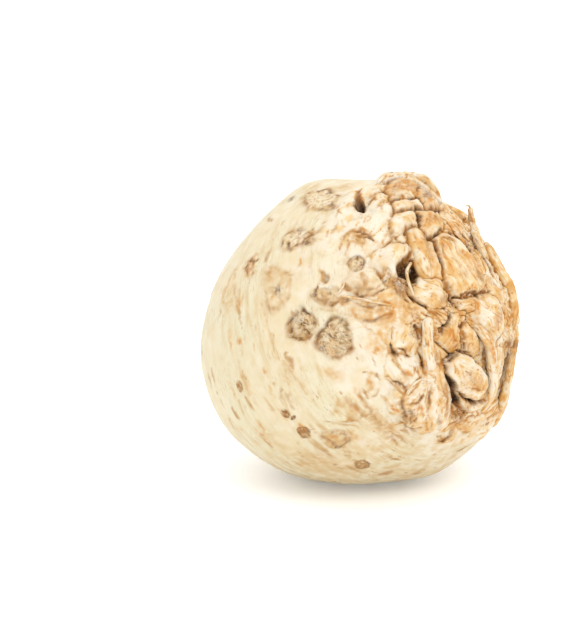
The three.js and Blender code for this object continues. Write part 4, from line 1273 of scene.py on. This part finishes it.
# Pixels of scars on the skin, which get closer corners than the skin between them, how far round each, in
# mm, and how close.
SCARS = [
    (319, 332), (297, 239), (318, 199), (252, 267), (279, 290), (297, 424), (362, 464), (342, 424), (240, 386),
]
SCAR_REACH = 12.0
SCAR_CLOSENESS = 0.5


def drawn_in(directions, at):
    """Directions near one place, drawn towards it."""
    share = np.clip(arc_to(directions, at) / SCAR_REACH, 0, 1)
    less = SCAR_REACH / RADIUS * share * (1 - SCAR_CLOSENESS) * (1 - share**2)
    side = unit(at - (directions @ at)[:, None] * directions)
    return unit(np.cos(less)[:, None] * directions + np.sin(less)[:, None] * side)


def gathered(directions):
    """Directions drawn together round the root end, where the detail is, and round the scars."""
    at = on_map(*GATHER_AT)
    angle = np.arccos(np.clip(directions @ at, -1, 1))
    side = unit(directions - (directions @ at)[:, None] * at)
    angle = angle * (GATHER_CLOSENESS + (1 - GATHER_CLOSENESS) * (angle / math.pi) ** GATHER_SPREAD)
    directions = unit(np.cos(angle)[:, None] * at + np.sin(angle)[:, None] * side)
    for scar in unit(seen(SCARS)):
        directions = drawn_in(directions, scar)
    return directions


def attribute(mesh, label, kind, values):
    """Values of the mesh's points, kept in it under a label."""
    field = "color" if kind == "FLOAT_COLOR" else "vector"
    made = mesh.attributes.new(label, kind, "POINT")
    made.data.foreach_set(field, values.astype(np.float32).ravel())


def piece(name, points, faces, tint, grime_and_shade, cork, streaky, flow):
    """A smooth mesh of points in mm about the globe's centre, with its colours and marks as attributes."""
    points = points + CENTRE
    points[:, 2] = np.maximum(points[:, 2], 0)
    mesh = bpy.data.meshes.new(name)
    mesh.from_pydata((points / 1000).tolist(), [], faces)
    mesh.shade_smooth()
    opaque = np.ones((len(points), 1))
    marks = np.clip(np.stack([grime_and_shade, cork, streaky], 1), 0, 1)
    attribute(mesh, "tint", "FLOAT_COLOR", np.concatenate([linear(tint), opaque], 1))
    attribute(mesh, "marks", "FLOAT_COLOR", np.concatenate([marks, opaque], 1))
    attribute(mesh, "flow", "FLOAT_VECTOR", flow)
    made = bpy.data.objects.new(name, mesh)
    bpy.context.scene.collection.objects.link(made)
    mesh.materials.append(SKIN)
    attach(made, "root")
    return made


# A free root's sides, a thin one's, the way between its rings in mm, and the steps of its curve from one
# place of its path to the next. Patches are painted on roots thicker than a least radius.
ROOT_SIDES = 28
THIN_SIDES = 12
RING_STEP = 0.45
CURVE_STEPS = 24
PAINTED_FROM = 1.2


def smooth_path(places):
    """A curve through places, with points a ring's step apart, and its length."""
    places = np.concatenate([[2 * places[0] - places[1]], places, [2 * places[-1] - places[-2]]])
    fours = zip(places, places[1:], places[2:], places[3:])
    steps = np.linspace(0, 1, CURVE_STEPS, endpoint=False)
    fine = np.array([spline(*four, t) for four in fours for t in steps] + [places[-2]])
    lengths = np.concatenate([[0], np.cumsum(np.linalg.norm(np.diff(fine, axis=0), axis=1))])
    at = np.linspace(0, lengths[-1], max(6, round(lengths[-1] / RING_STEP)))
    return np.stack([np.interp(at, lengths, fine[:, i]) for i in range(3)], 1), lengths[-1]


def free_root(name, path, radii, tone, flat, sides=ROOT_SIDES):
    """A root that stands free of the globe: it follows its path, and its radius runs through radii."""
    centres, length = smooth_path(path)
    count = len(centres)
    t = np.linspace(0, 1, count)
    radius = np.interp(t, np.linspace(0, 1, len(radii)), radii)
    from_end = np.minimum(t, 1 - t) * length
    radius = radius * np.sqrt(np.clip(1 - (1 - np.clip(from_end / radius, 0, 1)) ** 2, 0.0004, 1))
    ahead = unit(np.gradient(centres, axis=0))
    side = unit(np.cross(ahead, unit(centres)))
    top = np.cross(side, ahead)
    angles = np.linspace(0, 2 * math.pi, sides, endpoint=False)
    ring = side[:, None] * np.cos(angles)[:, None] + top[:, None] * (flat * np.sin(angles))[:, None]
    points = (centres[:, None] + ring * radius[:, None, None]).reshape(-1, 3)

    # Folds and bumps along it.
    run = np.repeat(t * length, sides)
    around = [np.tile(turn(angles), count) * 2.2 for turn in (np.cos, np.sin)]
    flow = np.stack([*around, run * 0.18], 1) + 31.7 * (len(name) + radii[0])
    lined = grain(flow, 1.1, 3, 4.0)
    bumps = grain(points, 2.8, 2, 6.0)
    fold = np.abs(grain(flow + 5.1, 1.5, 2, 9.0))
    swell = 0.08 * lined + 0.3 * bumps + 0.28 * fold
    points = points + ring.reshape(-1, 3) * (swell * np.repeat(np.minimum(1, radius / 1.4), sides))[:, None]

    # It is painted darker and orange where it meets the flesh, orange and brown in its folds, both as shade
    # with some dirt, and stained along it.
    over = np.linalg.norm(points, axis=1) - skin_radius(unit(points))
    clear = over - relief(unit(points))
    shade = tone + 0.25 * bumps + 0.3 * lined + 0.22 * (1 - ramp(clear, -0.2, 1.3))
    stained = grain(points, 5.0, 3, 41.0) + 0.4 * lined
    folded = 1 - ramp(fold, 0.0, 0.09)
    tint = layered(flesh_colour(np.clip(shade, 0, 1.1)), [
        (ORANGE, 0.45 * (1 - ramp(clear, -0.2, 0.9))),
        (HONEY, 0.8 * ramp(stained, 0.0, 0.5) * min(1, 0.3 + 3 * tone)),
        (WHITE, 0.7 * ramp(-stained, 0.0, 0.4)),
        (ORANGE, folded * 0.6),
        (BROWN, folded * (0.3 + 0.8 * bumps)),
    ])
    grime_and_shade = 0.3 * (1 - ramp(clear, -0.3, 0.3))
    cork = np.full(len(points), 0.4)
    nothing = np.zeros(len(points))
    if max(radii) > PAINTED_FROM:
        kinds = {"stain", "grey", "orange", "white"}
        mark(unit(points) * RADIUS, nothing.copy(), tint, grime_and_shade, cork, kinds)

    rings = np.arange(count * sides).reshape(count, sides)
    nxt = np.roll(rings, -1, axis=1)
    faces = np.stack([rings[:-1], nxt[:-1], nxt[1:], rings[1:]], -1).reshape(-1, 4).tolist()
    faces += [rings[0][::-1].tolist(), rings[-1].tolist()]
    piece(name, points, faces, tint, grime_and_shade, cork, nothing, flow)


def skin_material():
    """Root skin and flesh: its colours and marks are in the mesh, its streaks, specks and grain are here."""
    material = bpy.data.materials.new("root_skin")
    material.use_nodes = True
    nodes = material.node_tree.nodes
    links = material.node_tree.links
    shader = nodes["Principled BSDF"]

    def node(kind, inputs=None, **settings):
        made = nodes.new("ShaderNode" + kind)
        for key, value in settings.items():
            setattr(made, key, value)
        for key, value in (inputs or {}).items():
            if isinstance(value, bpy.types.NodeSocket):
                links.new(value, made.inputs[key])
            else:
                made.inputs[key].default_value = value
        return made

    def math_node(operation, a, b=0.0):
        return node("Math", {0: a, 1: b}, operation=operation).outputs[0]

    def times(value, *others):
        for other in others:
            value = math_node("MULTIPLY", value, other)
        return value

    def spread(value, low, high, to_low=0.0, to_high=1.0):
        return node("MapRange", {0: value, 1: low, 2: high, 3: to_low, 4: to_high}).outputs[0]

    def blend(factor, a, shade):
        flat = (*linear(shade).tolist(), 1.0)
        return node("Mix", {0: factor, 6: a, 7: flat}, data_type="RGBA").outputs[2]

    def speckle(vector, scale, detail=4.0, roughness=0.6):
        settings = {"Vector": vector, "Scale": scale, "Detail": detail, "Roughness": roughness}
        return node("TexNoise", settings).outputs[0]

    def vein(noise_value):
        return math_node("ABSOLUTE", math_node("SUBTRACT", noise_value, 0.5))

    tint = node("Attribute", attribute_name="tint").outputs["Color"]
    marks = node("SeparateColor", {0: node("Attribute", attribute_name="marks").outputs["Color"]})
    grime_and_shade, cork, streaky = marks.outputs[0], marks.outputs[1], marks.outputs[2]
    flow = node("Attribute", attribute_name="flow").outputs["Vector"]
    place = node("TexCoord").outputs["Object"]

    streaks = speckle(flow, 0.42, 6.0, 0.62)
    thin_streaks = speckle(flow, 1.5, 5.0, 0.6)
    patchy = speckle(place, 75.0, 3.0, 0.6)
    mottle = speckle(place, 130.0, 5.0, 0.6)
    blots = speckle(place, 360.0, 4.0, 0.6)
    dust = speckle(place, 900.0, 4.0, 0.65)
    pores = speckle(place, 2600.0, 2.0, 0.5)

    # Streaks and threads of the skin, flecks along them, the grain of corky flesh, scars, and dark dirt on
    # top, which in the creases and where roots meet the flesh is painted shade as well.
    wide = times(spread(streaks, 0.50, 0.68), streaky)
    thin = times(spread(thin_streaks, 0.56, 0.72), streaky, spread(patchy, 0.40, 0.60))
    scar = times(spread(cork, 0.45, 0.9), streaky)
    flecks = times(spread(speckle(flow, 2.4, 2.0, 0.5), 0.64, 0.69), streaky, spread(patchy, 0.46, 0.58))
    threads = spread(vein(speckle(flow, 0.8, 2.0, 0.4)), 0.014, 0.002)
    soil_and_shade = times(spread(math_node("ADD", dust, times(grime_and_shade, 0.35)), 0.62, 0.80), grime_and_shade)
    for cover, shade in (
        (times(wide, 0.62), TAN),
        (times(thin, 0.6), CORK),
        (times(spread(streaks, 0.47, 0.32), streaky, 0.5), WHITE),
        (times(spread(mottle, 0.5, 0.72), 0.28), TAN),
        (times(spread(blots, 0.54, 0.68), cork, 0.75), HONEY),
        (times(spread(blots, 0.46, 0.34), cork, 0.6), WHITE),
        (times(spread(dust, 0.57, 0.72), cork, 0.55), BROWN),
        (times(spread(dust, 0.48, 0.40), scar, 0.7), CREAM),
        (times(spread(vein(speckle(place, 430.0, 3.0, 0.6)), 0.03, 0.0), scar, 0.6), BROWN),
        (times(flecks, 0.75), CORK),
        (times(threads, times(streaky, spread(mottle, 0.5, 0.64)), 0.55), TAN),
        (soil_and_shade, DARK),
    ):
        tint = blend(cover, tint, shade)
    links.new(tint, shader.inputs["Base Color"])

    roughness = math_node("ADD", spread(mottle, 0.3, 0.7, 0.42, 0.58), times(cork, 0.24))
    links.new(roughness, shader.inputs["Roughness"])
    shader.inputs["Specular IOR Level"].default_value = 0.25
    shader.inputs["Subsurface Weight"].default_value = 0.12
    shader.inputs["Subsurface Radius"].default_value = (1.0, 0.5, 0.22)
    shader.inputs["Subsurface Scale"].default_value = 0.0018

    uneven = math_node("ADD", speckle(place, 420.0, 5.0, 0.65), thin_streaks)
    coarse = times(uneven, math_node("ADD", cork, 0.12))
    bumps = math_node("ADD", coarse, times(pores, 0.12))
    bump = node("Bump", {"Strength": 0.6, "Distance": 0.0005, "Height": bumps})
    links.new(bump.outputs[0], shader.inputs["Normal"])
    return material


SKIN = skin_material()


def make_globe():
    """The globe with its lumps, cracks and holes, as one closed mesh in the solid's place."""
    directions, triangles = geodesic(FACETS)
    directions = gathered(directions)
    height, tint, grime_and_shade, cork, streaky, flow = dress(directions, triangles)
    points = directions * (skin_radius(directions) + height)[:, None]
    made = piece("root_globe", points, triangles.tolist(), tint, grime_and_shade, cork, streaky, flow)
    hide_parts("celeriac_root")


# Roots that stand clear, at pixels of the photograph with a lift over the skin, in mm. Each has its radii, a
# tone and how thick it is against its width.
ROOTS = [
    ("arch", [
        (378, 186, 0.4), (385, 180.5, 1.4), (397, 177.5, 1.8), (409, 176.8, 1.6), (421, 179, 1.4),
        (429, 184, 1.4), (434, 192, 1.2), (438, 202, 0.0),
    ], [1.6, 2.0, 2.0, 2.0, 1.9, 1.5], 0.03, 1.0),
    ("knobbly_finger", [
        (412, 230, -0.6), (415, 238, 0.3), (418.5, 248, 0.4), (421, 257, 0.3), (422, 266, 1.0),
        (425, 273, 0.6), (430, 281, -1.4),
    ], [2.6, 3.5, 3.6, 2.9, 2.9, 2.6, 1.6], 0.26, 0.9),
    ("middle_finger", [
        (427.5, 317, -0.8), (427.5, 326, 1.2), (427.5, 338, 1.9), (428, 348, 2.1), (429.2, 360, 2.1),
        (430.5, 368, 1.7), (432, 376, 0.8), (433, 382, -0.4),
    ], [1.8, 2.0, 2.0, 2.0, 2.0, 2.2, 2.3, 2.0], 0.02, 0.8),
    ("right_finger", [
        (473, 324, -0.4), (480, 331, 2.2), (486, 338, 3.2), (490, 347, 3.4), (491.5, 359, 3.2),
        (492.5, 372, 2.8), (492.5, 386, 2.2), (488, 401, 1.4), (480, 412, 0.2),
    ], [1.4, 1.8, 2.0, 2.1, 2.1, 2.0, 2.0, 1.8, 1.2], 0.06, 0.85),
    ("tall_stub", [
        (487, 262, -1.2), (483.3, 254, 1.4), (480.6, 246.6, 2.6), (477, 237.7, 3.2), (472.6, 226, 4.0),
        (471.2, 216, 4.4), (470, 207, 4.6),
    ], [1.4, 1.5, 1.6, 1.8, 2.0, 1.6, 1.0], 0.2, 0.9),
    ("hook", [(471, 207.5, 4.8), (468, 205.5, 4.8), (464.5, 206.5, 4.6)], [0.5, 0.35, 0.12], 0.3, 1.0),
    ("far_rib", [
        (486.3, 243.4, 1.6), (489.4, 251.7, 1.6), (495.8, 263.2, 1.6), (502.2, 275, 1.6),
        (508.5, 286, 1.6), (512.2, 298.5, 1.5), (513.6, 311.5, 1.2), (513, 324, 0.2), (511, 333, -1.4),
    ], [0.6, 1.4, 2.0, 2.3, 2.4, 2.4, 2.3, 2.0, 1.5], 0.38, 0.85),
    ("near_rib", [
        (517.5, 338, 3.4), (514, 350.7, 3.2), (511, 366, 3.0), (507.5, 383, 2.6), (503, 398.5, 1.8),
        (499, 410, -0.4),
    ], [0.7, 1.3, 1.6, 1.6, 1.5, 1.2], 0.36, 0.9),
]
# The same, with the lift over the lumps.
THIN_ROOTS = [
    ("clove_peel", [
        (423, 379, 0.0), (417, 383, 0.3), (411, 389, 0.3), (406, 396, -0.3),
    ], [0.7, 0.9, 0.8, 0.5], 0.1, 0.6),
    ("upper_strip", [
        (438, 208, -0.8), (446, 215, -0.1), (456, 224, -0.1), (464, 234, 0), (472, 246, -0.8),
    ], [0.8, 1.0, 1.0, 1.0, 0.8], 0.45, 0.7),
    ("middle_strip", [
        (444, 218, -0.6), (451, 226, 0.2), (459, 236, 0.2), (466, 246, -0.6),
    ], [0.7, 1.0, 1.0, 0.7], 0.45, 0.7),
    ("pocket_wall", [(362, 189, -0.4), (364, 198, 0), (367, 207, -0.6)], [0.5, 0.6, 0.6], 0.06, 0.8),
    ("thorn", [(404, 422, -0.3), (400, 423.5, 0.8), (394.5, 425, 1.6)], [0.35, 0.25, 0.08], 0.9, 1.0),
    ("rootlet", [
        (411.5, 262, 0.3), (407, 271, 0.3), (408.5, 282, 0.4), (412.5, 292, 0.3), (415, 298, -0.2),
    ], [0.5, 0.6, 0.6, 0.55, 0.35], 0.15, 1.0),
    ("long_fibre", [
        (342, 295.5, 0.1), (354, 298, 0.2), (366, 300, 0.2), (380, 303, 0.2), (392, 305.5, 0),
    ], [0.35, 0.5, 0.5, 0.45, 0.3], 0.05, 0.8),
    ("cross_fibre", [(345, 282, 0.2), (341, 290, 0.2), (336, 295, 0)], [0.3, 0.45, 0.3], 0.05, 0.8),
    ("side_fibre", [(393, 326, 0), (392, 336, 0.2), (392, 345, 0)], [0.3, 0.4, 0.3], 0.1, 0.8),
    ("black_bump", [(462, 218, 0), (464, 218.5, 0.6), (466, 219, 0)], [0.5, 0.8, 0.5], 1.1, 1.0),
]
# The same on the far side of the root end, at places of the map.
FAR_ROOTS = [
    ("far_root_a", [
        (50, 46, -0.6), (55, 39, 0.8), (58, 31, 1.4), (61, 22, 0.8), (63, 10, -1),
    ], [1.6, 2.1, 2.0, 1.8, 1.3], 0.2, 0.9),
    ("far_root_b", [
        (54, -22, -0.8), (59, -18, 0.6), (64, -12, 0.9), (69, -5, 0.5), (75, 4, -1),
    ], [1.6, 2.1, 2.0, 1.7, 1.0], 0.25, 0.9),
    ("far_root_c", [
        (50, -44, -0.8), (55, -42, 0.4), (61, -37, 0.6), (66, -31, 0.2), (70, -24, -1),
    ], [1.4, 1.7, 1.7, 1.5, 1.0], 0.3, 0.9),
    ("far_root_d", [
        (20, 60, -0.6), (28, 62, 0.8), (36, 62, 0.6), (44, 60, -1),
    ], [1.6, 2.1, 1.9, 1.2], 0.12, 0.9),
    ("far_stub", [(63, 8, -1), (65, 9, 1.0), (68, 11, 2.6)], [2.4, 2.2, 1.7], 0.35, 1.0),
    ("far_stub_low", [(60, -28, -1), (62, -29, 0.6), (65, -31, 2.0)], [2.2, 2.0, 1.6], 0.4, 1.0),
]


def make_roots():
    """The roots that stand clear, each a piece that grows out of the globe."""
    for name, path, radii, tone, flat in ROOTS:
        free_root(name, seen(path), radii, tone, flat)
    for name, path, radii, tone, flat in THIN_ROOTS:
        free_root(name, touching(path), radii, tone, flat, THIN_SIDES)
    for name, path, radii, tone, flat in FAR_ROOTS:
        free_root(name, touching(path, place=mapped), radii, tone, flat)


# The studio: half the width of the floor and the place that the lamps point at, in metres, how strong the
# white world is, and the width of the camera's sensor in mm.
FLOOR_HALF = 30
LIT_PLACE = Vector((0, 0, 0.05))
WORLD_STRENGTH = 1.32
SENSOR = 36.0


def floor():
    """The white ground. It glows a little, so that it is as white as in the photograph."""
    mesh = bpy.data.meshes.new("floor")
    corners = [(x * FLOOR_HALF, y * FLOOR_HALF, 0) for x, y in ((-1, -1), (1, -1), (1, 1), (-1, 1))]
    mesh.from_pydata(corners, [], [(0, 1, 2, 3)])
    made = bpy.data.objects.new("floor", mesh)
    bpy.context.scene.collection.objects.link(made)
    material = bpy.data.materials.new("floor_white")
    material.use_nodes = True
    shader = material.node_tree.nodes["Principled BSDF"]
    shader.inputs["Base Color"].default_value = (0.96, 0.96, 0.955, 1)
    shader.inputs["Roughness"].default_value = 0.9
    shader.inputs["Specular IOR Level"].default_value = 0.1
    shader.inputs["Emission Color"].default_value = (0.84, 0.92, 1.0, 1)
    shader.inputs["Emission Strength"].default_value = 0.15
    mesh.materials.append(material)


def light(name, at, size, power, tone=(1, 1, 1)):
    """A round lamp, its size across in metres and its power in watts, turned to the root."""
    lamp = bpy.data.lights.new(name, "AREA")
    lamp.shape = "DISK"
    lamp.size = size
    lamp.energy = power
    lamp.color = tone
    made = bpy.data.objects.new(name, lamp)
    made.location = at
    made.rotation_euler = (LIT_PLACE - Vector(at)).to_track_quat("-Z", "Y").to_euler()
    bpy.context.scene.collection.objects.link(made)


def studio():
    """A white world, a key light from the right and a soft one from above."""
    scene = bpy.context.scene
    world = bpy.data.worlds.new("studio")
    world.use_nodes = True
    background = world.node_tree.nodes["Background"]
    background.inputs["Color"].default_value = (1.0, 1.0, 1.0, 1)
    background.inputs["Strength"].default_value = WORLD_STRENGTH
    scene.world = world
    light("key", (0.85, -0.25, 0.95), 0.55, 3.0, (1.0, 0.98, 0.95))
    light("top", (0.1, 0.1, 1.3), 0.8, 1.4)
    scene.view_settings.view_transform = "Standard"
    scene.view_settings.look = "None"


def camera():
    """The photograph's view, shifted so that each pixel of it is at its own place in the picture."""
    scene = bpy.context.scene
    data = bpy.data.cameras.new("camera")
    data.sensor_width = SENSOR
    data.lens = SENSOR * DISTANCE / (PICTURE[1] * PIXEL)
    data.shift_x = (PICTURE[0] / 2 - PICTURE_CENTRE[0]) / PICTURE[1]
    data.shift_y = (PICTURE_CENTRE[1] - PICTURE[1] / 2) / PICTURE[1]
    data.clip_start = 0.05
    made = bpy.data.objects.new("camera", data)
    made.location = Vector((CENTRE + TOWARDS * DISTANCE) / 1000)
    made.rotation_euler = Vector(-TOWARDS).to_track_quat("-Z", "Y").to_euler()
    scene.collection.objects.link(made)
    scene.camera = made


camera()
studio()
floor()
make_globe()
make_roots()
